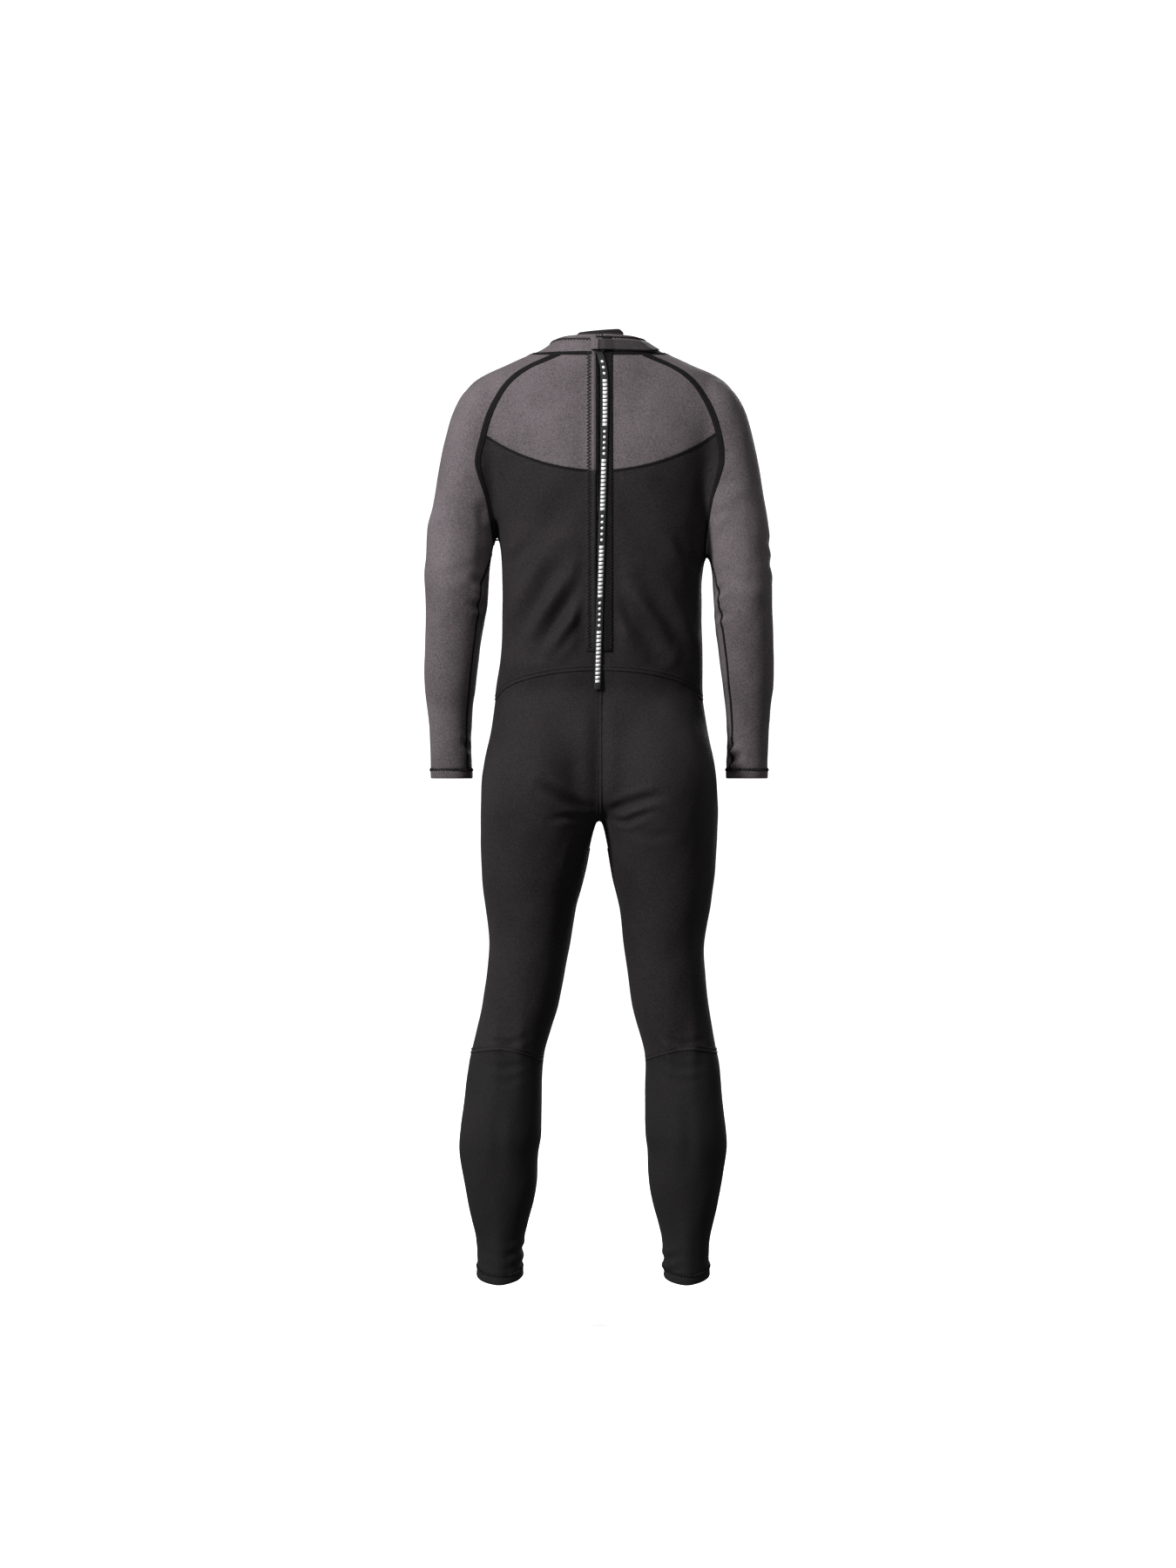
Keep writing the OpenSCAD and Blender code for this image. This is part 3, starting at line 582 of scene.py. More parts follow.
def skin(P):
    """Nearest points of the skin, and its normals there."""
    near, nor = np.empty((len(P), 3)), np.empty((len(P), 3))
    for i, p in enumerate(P):
        near[i], nor[i], _, _ = SKIN.find_nearest(Vector(p))
    return near, nor


# the panels at each edge, and the edges between two panels
at_edge = {}
for name, q in zip(panel, F):
    for a, b in zip(q, q[1:] + q[:1]):
        at_edge.setdefault((min(a, b), max(a, b)), set()).add(name)
border = {e: names for e, names in at_edge.items() if len(names) > 1}


def chain(test):
    """The longest polyline of border edges whose pair of panels passes the test."""
    nb = {}
    for (a, b), names in border.items():
        if test(names):
            nb.setdefault(a, []).append(b)
            nb.setdefault(b, []).append(a)
    seen, best = set(), []
    starts = [v for v in nb if len(nb[v]) == 1] + list(nb)
    for s in starts:
        if s in seen:
            continue
        line, cur = [s], s
        seen.add(s)
        while True:
            nxt = [v for v in nb[cur] if v not in seen]
            if not nxt:
                break
            cur = nxt[0]
            seen.add(cur)
            line.append(cur)
        if line[0] in nb[line[-1]] and len(line) > 8:
            line.append(line[0])
        if len(line) > len(best):
            best = line
    return V[best]


def distances(P):
    """Distance along a line to each of its points."""
    return np.concatenate([[0], np.cumsum(np.linalg.norm(np.diff(P, axis=0), axis=1))])


def spread(P, d, n):
    """The line P, whose points lie at distances d, as n even steps."""
    even = np.linspace(0, d[-1], n + 1)
    return np.stack([np.interp(even, d, P[:, k]) for k in range(3)], 1)


def smooth_line(P, step):
    """Resampled evenly, then smoothed with its ends kept."""
    closed = np.linalg.norm(P[0] - P[-1]) < 1e-6
    for _ in range(2):
        d = distances(P)
        keep = np.concatenate([[True], np.diff(d) > 1e-6])
        P = spread(P[keep], d[keep], max(4, int(d[-1] / step)))
        for _ in range(8):
            Q = P.copy()
            Q[1:-1] = 0.25 * P[:-2] + 0.5 * P[1:-1] + 0.25 * P[2:]
            if closed:
                Q[0] = Q[-1] = 0.25 * P[-2] + 0.5 * P[0] + 0.25 * P[1]
            P = Q
    return P


def frames(P):
    """Points on the skin, and the normals and sideways directions there, along a line."""
    Q, n = skin(P)
    for _ in range(3):
        n[1:-1] = n[:-2] + 2 * n[1:-1] + n[2:]
        n = unit(n)
    t = np.gradient(P, axis=0)
    t = unit(t - n * (t * n).sum(1)[:, None])
    return Q, n, np.cross(n, t)


def ribbon(name, line, profile, taper=None):
    """A band along a line on the skin. profile is a list of (sideways, height)."""
    Q, n, b = frames(line)
    if taper:
        b = b * taper(line)[:, None]
    rows = np.stack([skin(Q + b * s)[0] + n * h for s, h in profile], 1)
    return mesh_object(name, rows.reshape(-1, 3), [q[::-1] for q in capped_faces(*rows.shape[:2])])


def tube_arrays(P, r, sides=5, n=None):
    """Points and faces of a tube along P, with radius r (one number, or one for each point)."""
    t = unit(np.gradient(P, axis=0))
    if n is None:
        n = np.tile([0.0, -1.0, 0.0], (len(P), 1))
    n = unit(n - t * (n * t).sum(1)[:, None])
    b = np.cross(t, n)
    a = np.linspace(0, 2 * np.pi, sides, endpoint=False)[None, :, None]
    r = np.broadcast_to(np.asarray(r, float), (len(P),))[:, None, None]
    ring = P[:, None] + r * (np.cos(a) * n[:, None] + np.sin(a) * b[:, None])
    return ring.reshape(-1, 3), capped_faces(len(P), sides)


class Batch:
    """Many small shapes gathered into one mesh."""

    def __init__(self):
        self.v, self.f, self.base = [], [], 0

    def add(self, v, f):
        self.v.append(v)
        self.f += [tuple(i + self.base for i in q) for q in f]
        self.base += len(v)

    def make(self, name):
        return mesh_object(name, np.concatenate(self.v), self.f)


stitches = Batch()
STITCH = 3.0


def resample(P, step):
    d = distances(P)
    return spread(P, d, max(2, int(round(d[-1] / step))))


def zigzag(line, half_w, pitch, height, r):
    """A zigzag thread along a line, half_w to each side, one full wave each pitch."""
    Q, n, b = frames(resample(line, pitch / 2))
    Z = Q + b * np.where(np.arange(len(Q)) % 2, half_w, -half_w)[:, None] + n * height
    # each stroke dips a little at its ends, where the needle goes in
    mid = (Z[:-1] + Z[1:]) / 2 + (n[:-1] + n[1:]) / 2 * r * 1.1
    W = np.empty((2 * len(Z) - 1, 3))
    W[0::2], W[1::2] = Z - n * r * 0.6, mid
    stitches.add(*tube_arrays(W, r, 4, np.repeat(n, 2, axis=0)[:len(W)]))


def running(line, shift, height, r):
    """A row of single stitches along a line."""
    Q, n, b = frames(resample(line, STITCH / 3))
    k = np.arange(len(Q)) % 3
    Z = Q + b * shift + n * (height + np.where(k == 0, -r * 0.9, r * 0.25))[:, None]
    stitches.add(*tube_arrays(Z, np.where(k == 0, r * 0.55, r), 4, n))


# ---- the panels
seam_verts = np.zeros(len(V), bool)
open_verts = np.zeros(len(V), bool)
for (a, b), names in border.items():
    if None in names:
        open_verts[[a, b]] = True
    else:
        seam_verts[[a, b]] = True
THICK = 3.0
SEAM_DIP = 0.7                        # how far the cloth is drawn in along a seam
RIM_ROUND = 1.2                       # how far an open edge swells outward
HEM_PROUD = 0.7
outer = V - N * np.where(seam_verts & ~open_verts, SEAM_DIP, 0.0)[:, None]
panels = {}


def build_panel(name, extra):
    """The panel as one closed sheet of neoprene: outer skin, lining and its cut edge."""
    idx = [i for i, p in enumerate(panel) if p == name]
    used = sorted({v for i in idx for v in F[i]})
    new = {v: k for k, v in enumerate(used)}
    n = len(used)
    O = outer[used] + N[used] * extra
    I = V[used] - N[used] * THICK
    faces = [tuple(new[v] for v in F[i]) for i in idx]
    lining = [tuple(n + k for k in q[::-1]) for q in faces]
    edges = {(a, b): None for q in faces for a, b in zip(q, q[1:] + q[:1])}
    rim = [(a, b) for a, b in edges if (b, a) not in edges]
    # the edge's outward direction at each border vertex
    away = np.zeros((n, 3))
    for a, b in rim:
        d = np.cross(O[b] - O[a], N[used[a]])
        away[a] += d
        away[b] += d
    away = unit(away)
    rim_v = sorted({v for e in rim for v in e})
    pos = {v: k for k, v in enumerate(rim_v)}
    depth = np.linalg.norm(O - I, axis=1)
    soft = np.array([RIM_ROUND if open_verts[used[v]] else 0.0 for v in rim_v])
    rings = []
    for turn in (np.pi / 4, np.pi / 2, np.pi * 3 / 4):
        inward = depth[rim_v] / 2 * (1 - math.cos(turn))
        swell = soft * math.sin(turn)
        rings.append(O[rim_v] - N[used][rim_v] * inward[:, None] + away[rim_v] * swell[:, None])
    # each border vertex has a column of points from the outer skin to the lining
    column = {v: [v] + [2 * n + k * len(rim_v) + pos[v] for k in range(3)] + [n + v] for v in rim_v}
    edge = [(column[b][k], column[a][k], column[a][k + 1], column[b][k + 1])
            for a, b in rim for k in range(4)]
    ob = mesh_object("visual_" + name, np.concatenate([O, I] + rings), faces + lining + edge)
    ob.data.materials.append(None)
    ob.data.materials.append(None)
    ob.data.polygons.foreach_set("material_index", [0] * len(faces) + [1] * len(lining) + [0] * len(edge))
    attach(ob, "suit")
    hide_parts(name)
    panels[name] = ob


for name in sorted({p for p in panel if p}):
    build_panel(name, HEM_PROUD if "hem" in name else 0.0)


# ---- materials
def add(nt, kind, inputs=None, **attrs):
    """A shader node; an input is a value or another node's output."""
    n = nt.nodes.new("ShaderNode" + kind)
    for k, v in attrs.items():
        setattr(n, k, v)
    for k, v in (inputs or {}).items():
        if isinstance(v, bpy.types.NodeSocket):
            nt.links.new(v, n.inputs[k])
        else:
            n.inputs[k].default_value = v
    return n


def new_material(name):
    m = bpy.data.materials.new(name)
    m.use_nodes = True
    nt = m.node_tree
    return m, nt, nt.nodes["Principled BSDF"], add(nt, "TexCoord").outputs["Object"]


def noise(nt, co, scale, detail=2.0, stretch=None):
    if stretch:
        co = add(nt, "Mapping", {"Vector": co, "Scale": stretch}).outputs["Vector"]
    return add(nt, "TexNoise", {"Vector": co, "Scale": scale, "Detail": detail}).outputs["Fac"]


def calc(nt, op, a, b, c=0.0):
    return add(nt, "Math", {0: a, 1: b, 2: c}, operation=op).outputs[0]


def remap(nt, v, a, b, lo=0.0, hi=1.0):
    ends = {"Value": v, "From Min": a, "From Max": b, "To Min": lo, "To Max": hi}
    return add(nt, "MapRange", ends).outputs["Result"]


def tint(nt, fac, dark, light):
    return add(nt, "Mix", {0: fac, 6: (*dark, 1), 7: (*light, 1)}, data_type='RGBA').outputs[2]


def bumped(nt, b, height, distance, strength=1.0, normal=None):
    inputs = {"Height": height, "Distance": distance, "Strength": strength}
    if normal is not None:
        inputs["Normal"] = normal
    n = add(nt, "Bump", inputs).outputs["Normal"]
    nt.links.new(n, b.inputs["Normal"])
    return n


def paint(nt, b, fac, dark, light, uneven, rough, half_width, spec):
    """Colour between dark and light by fac; roughness within rough +- half_width by an uneven value."""
    nt.links.new(tint(nt, fac, dark, light), b.inputs["Base Color"])
    nt.links.new(remap(nt, uneven, 0.3, 0.7, rough - half_width, rough + half_width), b.inputs["Roughness"])
    b.inputs["Specular IOR Level"].default_value = spec


def jersey(name, dark, light, sheen, rough=0.86, spec=0.2):
    """Knitted face cloth of neoprene: short upright stitches with flecks of lighter yarn."""
    m, nt, b, co = new_material(name)
    yarn = noise(nt, co, 1250, 1, (1, 1, 0.4))
    flecks = noise(nt, co, 460, 2, (1, 1, 0.7))
    cloud = noise(nt, co, 11, 3)
    v = calc(nt, 'MULTIPLY_ADD', flecks, 0.42, calc(nt, 'MULTIPLY', cloud, 0.35))
    v = calc(nt, 'MULTIPLY_ADD', yarn, 0.55, v)
    mid = (0.55 + 0.42 + 0.35) * 0.5
    paint(nt, b, remap(nt, v, mid - 0.17, mid + 0.17), dark, light, cloud, rough, 0.05, spec)
    soft = bumped(nt, b, flecks, 0.0005, 0.35)
    bumped(nt, b, yarn, 0.0003, 0.5, soft)
    b.inputs["Sheen Weight"].default_value = sheen
    b.inputs["Sheen Roughness"].default_value = 0.45
    b.inputs["Sheen Tint"].default_value = (0.6, 0.58, 0.6, 1)
    return m


def woven(name, dark, light, pitch, slant=0.0):
    """Woven tape or webbing: two sets of crossing ridges."""
    m, nt, b, co = new_material(name)
    turned = add(nt, "Mapping", {"Vector": co, "Rotation": (0, slant, 0)}).outputs["Vector"]
    wave = {"Vector": turned, "Scale": 0.314 / pitch, "Distortion": 0.6, "Detail": 1.0}
    both = calc(nt, 'MULTIPLY', *(add(nt, "TexWave", wave, bands_direction=d).outputs["Fac"] for d in "XZ"))
    worn = noise(nt, co, 90, 3)
    fac = calc(nt, 'MULTIPLY_ADD', both, 0.6, calc(nt, 'MULTIPLY', worn, 0.4))
    paint(nt, b, fac, dark, light, worn, 0.70, 0.08, 0.3)
    bumped(nt, b, both, 0.0003, 0.6)
    b.inputs["Sheen Weight"].default_value = 0.12
    return m


def plain(name, dark, light, rough, grain, depth, metallic=0.0, spec=0.5, stretch=None):
    """Moulded plastic, thread or metal with a fine, uneven surface."""
    m, nt, b, co = new_material(name)
    g = noise(nt, co, grain, 3, stretch)
    wear = noise(nt, co, 130, 2)
    paint(nt, b, remap(nt, wear, 0.35, 0.65), dark, light, g, rough, 0.07, spec)
    bumped(nt, b, g, depth, 0.5)
    b.inputs["Metallic"].default_value = metallic
    return m


GREY = jersey("grey_jersey", (0.050, 0.0415, 0.045), (0.139, 0.119, 0.1275), sheen=0.08)
BLACK = jersey("black_jersey", (0.0045, 0.0037, 0.0040), (0.0225, 0.0190, 0.0203), sheen=0.03)
SHIN = jersey("shin_jersey", (0.005, 0.0046, 0.0048), (0.013, 0.0115, 0.012), sheen=0.015)
TAB = jersey("tab_jersey", (0.020, 0.017, 0.0185), (0.050, 0.044, 0.047), sheen=0.05)
LINING = jersey("lining", (0.030, 0.030, 0.033), (0.062, 0.062, 0.068), sheen=0.3, rough=0.92)
TAPE = jersey("seam_cloth", (0.0035, 0.003, 0.0035), (0.010, 0.009, 0.0095), sheen=0.02, spec=0.1)
LOOP = jersey("loop_pile", (0.008, 0.008, 0.009), (0.035, 0.034, 0.036), sheen=0.5, rough=0.95)
ZIP_TAPE = woven("zip_tape_cloth", (0.006, 0.006, 0.007), (0.030, 0.029, 0.031), 0.0012, slant=0.6)
WEB = woven("webbing", (0.006, 0.006, 0.0065), (0.024, 0.023, 0.025), 0.0010)
THREAD = plain("dark_thread", (0.004, 0.0035, 0.004), (0.011, 0.010, 0.0105), 0.6, 2400, 0.0001, spec=0.25)
GREY_THREAD = plain("grey_thread", (0.045, 0.040, 0.043), (0.085, 0.077, 0.081), 0.6, 2400, 0.0001, spec=0.35)
COIL = plain("coil_plastic", (0.006, 0.006, 0.0065), (0.016, 0.016, 0.017), 0.38, 900, 0.00004)
METAL = plain("slider_metal", (0.16, 0.16, 0.165), (0.30, 0.30, 0.31), 0.34, 900, 0.00003, metallic=1.0,
              stretch=(1, 1, 0.1))
PRINT = plain("strap_print", (0.70, 0.70, 0.69), (0.86, 0.86, 0.85), 0.6, 1500, 0.00005, spec=0.3)


def rubber():
    """Knee pad: a satin rubber face embossed with small rounded cells, with painted shade darkening the
    grooves between the cells.
    """
    m, nt, b, co = new_material("knee_rubber")
    facing = add(nt, "Mapping", {"Vector": co, "Rotation": (math.pi / 2, 0, 0)}).outputs["Vector"]
    sizes = {"Vector": facing, "Scale": 150.0, "Randomness": 0.12}
    voronoi = add(nt, "TexVoronoi", sizes, feature='DISTANCE_TO_EDGE', voronoi_dimensions='2D')
    cells = voronoi.outputs["Distance"]
    relief_and_painted_shade = remap(nt, cells, 0.02, 0.16)
    grain = noise(nt, co, 900, 2)
    # the cell edges are coloured darker than the cell tops: painted shade in the grooves
    paint(nt, b, relief_and_painted_shade, (0.007, 0.0068, 0.007), (0.021, 0.020, 0.0205), grain, 0.58, 0.08, 0.4)
    n = bumped(nt, b, relief_and_painted_shade, 0.0007, 0.8)
    bumped(nt, b, grain, 0.0001, 0.4, n)
    return m


RUBBER = rubber()


def dress(ob, mat, body, replaces=()):
    """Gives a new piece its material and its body."""
    ob.data.materials.append(mat)
    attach(ob, body)
    if replaces:
        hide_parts(*replaces)


for name, ob in panels.items():
    if name.startswith("knee_pad"):
        mat, slot_name = RUBBER, "knee_rubber"
    elif name.startswith(("lower_leg", "ankle")):
        mat, slot_name = SHIN, "black_neoprene"
    elif name.startswith(("back_panel", "front_panel", "leg_panel")):
        mat, slot_name = BLACK, "black_neoprene"
    else:
        mat, slot_name = GREY, "grey_neoprene"
    ob.data.materials[0], ob.data.materials[1] = mat, LINING


# ---- seams on the skin
RUN = 2.5      # the step along a seam


def between(first, second):
    """The smoothed line where panels named like first meet panels named like second."""
    def test(names):
        if None in names:
            return False
        return any(a.startswith(first) and b.startswith(second) for a, b in permutations(names))
    return smooth_line(chain(test), RUN)


def flat_band(w, h):
    """Profile of a flat taped band, w wide and h proud, with soft edges."""
    k = w / 2
    return [(-k, -0.4), (-k, h * 0.45), (-k + 0.7, h * 0.92), (-k * 0.4, h),
            (k * 0.4, h), (k - 0.7, h * 0.92), (k, h * 0.45), (k, -0.4)]


def ridge_band(w, h):
    """Profile of a seam sewn down on both sides: two low ridges with a dip between them."""
    k = w / 2
    return [(-k, -0.5), (-k + 0.2, h * 0.35), (-k * 0.62, h), (-k * 0.3, h * 0.8), (0, h * 0.15),
            (k * 0.3, h * 0.8), (k * 0.62, h), (k - 0.2, h * 0.35), (k, -0.5)]


def seam(name, line, profile, rows, mat=TAPE, taper=None, row_r=0.28):
    """A band with rows of stitches, which stands for the CAD seam of the same name if there is one."""
    band = ribbon("visual_" + name, line, profile, taper)
    dress(band, mat, "suit", (name,) if name in frame["nodes"] else ())
    top = max(h for _, h in profile)
    for s in rows:
        running(line, s, top + 0.1, row_r)


seam("collar_seam", between("collar", ("back_", "front_", "sleeve")), flat_band(6.5, 0.9), (-2.2, 2.2))
for s, sg in (("left", -1), ("right", 1)):
    seam("raglan_seam_" + s, between("sleeve_" + s, ("back_", "front_")), flat_band(10, 0.9), (-2.0, 2.0),
         taper=lambda P: 0.55 + 0.45 * ease(P[:, 2], -250, -170))
    seam("back_yoke_seam_" + s, between("back_yoke_" + s, "back_panel_" + s), flat_band(4.2, 0.6),
         (-1.5, 1.5))
    seam("side_seam_" + s, between("back_panel_" + s, "front_panel"), ridge_band(8, 0.7), (-2.6, 2.6), BLACK)
    seam("knee_seam_" + s, between("leg_panel_" + s, "lower_leg_" + s), ridge_band(8.5, 1.0), (-3.2, 3.2),
         BLACK, row_r=0.5)
    seam("pad_edge_" + s, between("knee_pad_" + s, ("leg_panel_" + s, "lower_leg_" + s)),
         flat_band(3.4, 0.5), (1.1,))
    # the sleeve's seam down the inside of its back, and the leg's down its inner side
    z = np.arange(-326, CUFF_Z + HEM - 0.5, -RUN)
    cx, cy, w, d = at(ARM, z).T
    u = -0.99 + 0.22 * ease(-z, 326, 400)
    line = skin(np.stack([sg * (cx + u * w), cy - d * np.sqrt(1 - u * u), z], 1))[0]
    seam("sleeve_seam_" + s, smooth_line(line, RUN), flat_band(4.6, 0.7), (-1.7, 1.7))
    z = np.arange(-800, -1466, -RUN)
    cx, cy, w, d = at(LEG, z).T
    line = skin(np.stack([sg * (cx - w), cy, z], 1))[0]
    seam("inner_leg_seam_" + s, smooth_line(line, RUN), ridge_band(8, 0.7), (-2.6, 2.6), BLACK)
    # the cuffs and the ankles: a turned hem with a zigzag at its top edge
    zigzag(between("sleeve_" + s, "cuff_hem_" + s), 2.3, 4.8, 0.8, 0.75)
    zigzag(between("lower_leg_" + s, "ankle_hem_" + s), 2.3, 4.8, 0.8, 0.7)
seam("front_yoke_seam", between("front_yoke", "front_panel"), flat_band(4.2, 0.6), (-1.5, 1.5))
seam("waist_seam", between(("back_panel", "front_panel"), "leg_panel"), ridge_band(9.5, 1.1), (-3.4, 3.4),
     BLACK, row_r=0.5)
seam("seat_seam", between("leg_panel_left", "leg_panel_right"), ridge_band(8.5, 1.5), (-3.2, 3.2),
     BLACK, row_r=0.6)
seam("back_seam", between("back_panel_left", "back_panel_right"), ridge_band(6, 0.7), (-2, 2), BLACK)
# the collar's rim: a zigzag just below its edge
rim = chain(lambda names: names == {"collar", None})
rim = rim[np.abs(g_neck(rim)) < 1.5]
rim = rim[np.argsort(np.arctan2(rim[:, 0], -rim[:, 1]))]
rim = rim[(rim[:, 1] > 0) | (np.abs(rim[:, 0]) > 12)]
for half_rim, drop in ((rim[rim[:, 0] <= 0], 8.0), (rim[rim[:, 0] > 0], 4.6)):
    zigzag(smooth_line(skin(half_rim - (0, 0, drop))[0], RUN), 2.3, 5.2, 0.4, 0.8)


# ---- the zip, swept down the back
def solid(name, rows):
    """A closed solid through rows of points, an (m, k, 3) array, with its faces turned outward."""
    ob = mesh_object(name, rows.reshape(-1, 3), capped_faces(*rows.shape[:2]))
    turned = bmesh.new()
    turned.from_mesh(ob.data)
    bmesh.ops.recalc_face_normals(turned, faces=turned.faces)
    turned.to_mesh(ob.data)
    turned.free()
    return ob


def bevel(ob, width, angle):
    mod = ob.modifiers.new("bevel", 'BEVEL')
    mod.width = width
    mod.segments = 2
    mod.limit_method = 'ANGLE'
    mod.angle_limit = math.radians(angle)


def back_pt(x, z, out):
    """Point of the back at x, z, moved out squarely from the zip's arc."""
    x, z, out = np.broadcast_arrays(np.asarray(x, float), np.asarray(z, float), np.asarray(out, float))
    tab = at(TORSO, z.ravel())
    flat = (1 - (np.abs(x.ravel()) / tab[:, 0]) ** tab[:, 3]) ** (1 / tab[:, 3])
    flat = flat.reshape(x.shape)
    a = zip_a(z)
    return np.stack([x, -zip_y(z) * flat - out * np.cos(a), z - out * np.sin(a)], -1)


def sweep_back(name, profile, zs):
    """A closed solid down the back. profile is a list of (x, out)."""
    prof = np.array(profile, float)
    return solid("visual_" + name, back_pt(prof[None, :, 0], zs[:, None], prof[None, :, 1]))


def rows_z(top, low, step=5.0):
    return np.linspace(top, low, max(3, int((top - low) / step)))


YOKE_MID = YOKE_Z + YOKE_R - math.sqrt(YOKE_R ** 2 - 14 ** 2)
BAND_TOP, ZIP_LOW = -4.0, SLOT_LOW + 2
# left: the panel's edge is turned in and sewn down, with a soft fold beside the coil
FLAP = [(-21.5, -0.3), (-20.6, 0.35), (-17, 0.7), (-13.2, 0.6), (-11.6, 0.95), (-9, 1.6), (-7, 1.65),
        (-5.8, 1.15), (-5.3, 0.1), (-5.5, -1.0), (-6.5, -1.6), (-9, -1.6), (-16, -1.4), (-20.5, -1.0)]
dress(sweep_back("zip_flap_upper", FLAP, rows_z(BAND_TOP, YOKE_MID)), GREY, "suit")
dress(sweep_back("zip_flap_lower", FLAP, rows_z(YOKE_MID + 0.01, ZIP_LOW)), BLACK, "suit")
# right: a black band sewn over the panel's edge
BAND_EDGE = [(5.5, -0.9), (6.6, -1.5), (12, -1.4)]
BAND = [(21.8, -0.4), (21.6, 0.5), (20.5, 0.95), (12, 1.0), (7.4, 1.3), (5.9, 1.1), (5.3, 0.2)]
THIN_BAND = [(19.5, -0.4), (19.3, 0.3), (18, 0.6), (12, 0.65), (7, 0.65), (5.9, 0.5), (5.3, 0.0)]
for name, prof, zs in (("zip_band", BAND + BAND_EDGE + [(20, -1.2)], rows_z(BAND_TOP, ZIP_LOW)),
                       ("zip_band_top", THIN_BAND + BAND_EDGE + [(18, -1.2)], rows_z(17.5, -4.2))):
    dress(sweep_back(name, prof, zs), TAPE, "suit")


def zigzag_back(x, half_w, out, r):
    """A zigzag down the back, placed by the zip's own measure."""
    pitch, top, low = 5.4, -9.0, -481.0
    n = int((top - low) / pitch * 2)
    k = np.arange(n + 1)
    zc = top + (low - top) * k / n
    xc = x + np.where(k % 2, half_w, -half_w)
    P = np.empty((2 * n + 1, 3))
    P[0::2] = np.stack([xc, zc, np.full(n + 1, out - r * 0.9)], 1)
    P[1::2] = np.stack([(xc[1:] + xc[:-1]) / 2, (zc[1:] + zc[:-1]) / 2, np.full(n, out)], 1)
    stitches.add(*tube_arrays(back_pt(*P.T), r, 4))


zigzag_back(-16.8, 3.3, 1.35, 0.9)
zigzag_back(18.2, 2.9, 1.6, 0.85)
z = rows_z(-7, -486, 1.0)
needle = np.arange(len(z)) % 3 == 0
for x, out in ((-13.2, 0.72), (-8.2, 1.72), (8.6, 1.28)):
    P = back_pt(x, z, out + np.where(needle, -0.25, 0.08))
    stitches.add(*tube_arrays(P, np.where(needle, 0.16, 0.3), 4))
# tapes of the zip, with a rounded cord edge beside the coil
ZIP_TAPE_EDGE = [(1.0, -4.15), (1.6, -3.95), (3.6, -4.1), (10, -4.1), (18.4, -4.1),
                 (19, -4.5), (18.4, -4.9), (10, -4.9), (1.6, -4.9), (1.0, -4.6)]
COIL_PITCH, COIL_TOP, COIL_LOW = 1.7, 16.6, -480.4
COIL_X, COIL_RX, COIL_OUT, COIL_RO, COIL_WIRE = 2.15, 1.0, -2.3, 1.15, 0.34
for s, sg in (("left", -1), ("right", 1)):
    tape = sweep_back("zip_tape_" + s, [(sg * x, out) for x, out in ZIP_TAPE_EDGE], rows_z(18, -495))
    dress(tape, ZIP_TAPE, "suit", ("zip_tape_" + s,))
    turns = int((COIL_TOP - COIL_LOW) / COIL_PITCH)
    t = np.arange(turns * 8 + 1) / 8 * 2 * np.pi + (0 if sg < 0 else np.pi)
    wire = back_pt(sg * (COIL_X + COIL_RX * np.cos(t)), COIL_TOP - COIL_PITCH * (t - t[0]) / (2 * np.pi),
                   COIL_OUT + COIL_RO * np.sin(t))
    coil = mesh_object("visual_zip_coil_" + s, *tube_arrays(wire, COIL_WIRE, 5))
    dress(coil, COIL, "suit", ("zip_coil_" + s,))


# the guard behind the zip, with its slanting top edge standing above the collar
def guard_top(x):
    return 30.5 + x * 0.09 - np.clip(np.abs(x) - 30, 0, 8) ** 2 * 0.10


GUARD_MID, GUARD_LOW = -9.5, -491
gx = np.linspace(-38, 38, 25)
prof = [(x, -8.5) for x in gx] + [(38.6, -9.1), (38.0, -10.2)] + [(x, -10.5) for x in gx[::-1]]
gx, gout = np.array(prof + [(-38.6, -9.9)]).T
t = np.concatenate([[0, 0.002], np.linspace(0.01, 1, 70)])[:, None]
thin = np.where(t == 0, 0.5, 1.0)
guard = solid("visual_zip_guard", back_pt(gx[None], guard_top(gx)[None] * (1 - t) + GUARD_LOW * t,
                                          GUARD_MID + (gout[None] - GUARD_MID) * thin))
dress(guard, BLACK, "suit", ("zip_guard",))
x = np.linspace(-35, 35, 60)
edge = resample(back_pt(x, guard_top(x) - 4.0, -8.3), 1.5)
dress(mesh_object("visual_guard_stitch", *tube_arrays(edge, 0.3)), THREAD, "suit")
# hard pieces of the zip keep their CAD shape
for name in ("zip_slider", "zip_puller", "zip_top_stops", "zip_bottom_stop"):
    ob = frame["nodes"][name]
    ob.data.materials.clear()
    ob.data.materials.append(METAL)
    ob.data.polygons.foreach_set("material_index", [0] * len(ob.data.polygons))
    bevel(ob, 0.00022, 40)


# ---- the pull strap
BAR = np.array([0.0, -74.09, -7.55])  # the middle of the puller's bar
STRAP_OUT, STRAP_LOW = 3.2, -537.0
W, H = 5.5, 0.7                       # half the webbing's width and thickness
strap_z = np.linspace(-9.5, STRAP_LOW, 220)
strap_x = np.interp(strap_z, [-537, -450, -350, -200, -110, -60, -35, -20, -9],
                    [-3, -0.5, 2.6, 6.6, 9.0, 9.2, 7.2, 3.4, 0])
for _ in range(30):
    strap_x[1:-1] = 0.25 * strap_x[:-2] + 0.5 * strap_x[1:-1] + 0.25 * strap_x[2:]
face = [(-W, 0.25), (-W + 0.3, H), (-2, H), (2, H), (W - 0.3, H), (W, 0.25)]
prof = [(x, -out) for x, out in face] + face[::-1]
rows = [on_arc(strap_x + x, strap_z, STRAP_OUT + out) for x, out in prof]
strap = solid("visual_pull_strap", np.stack(rows, 1))
dress(strap, WEB, "strap", ("pull_strap",))


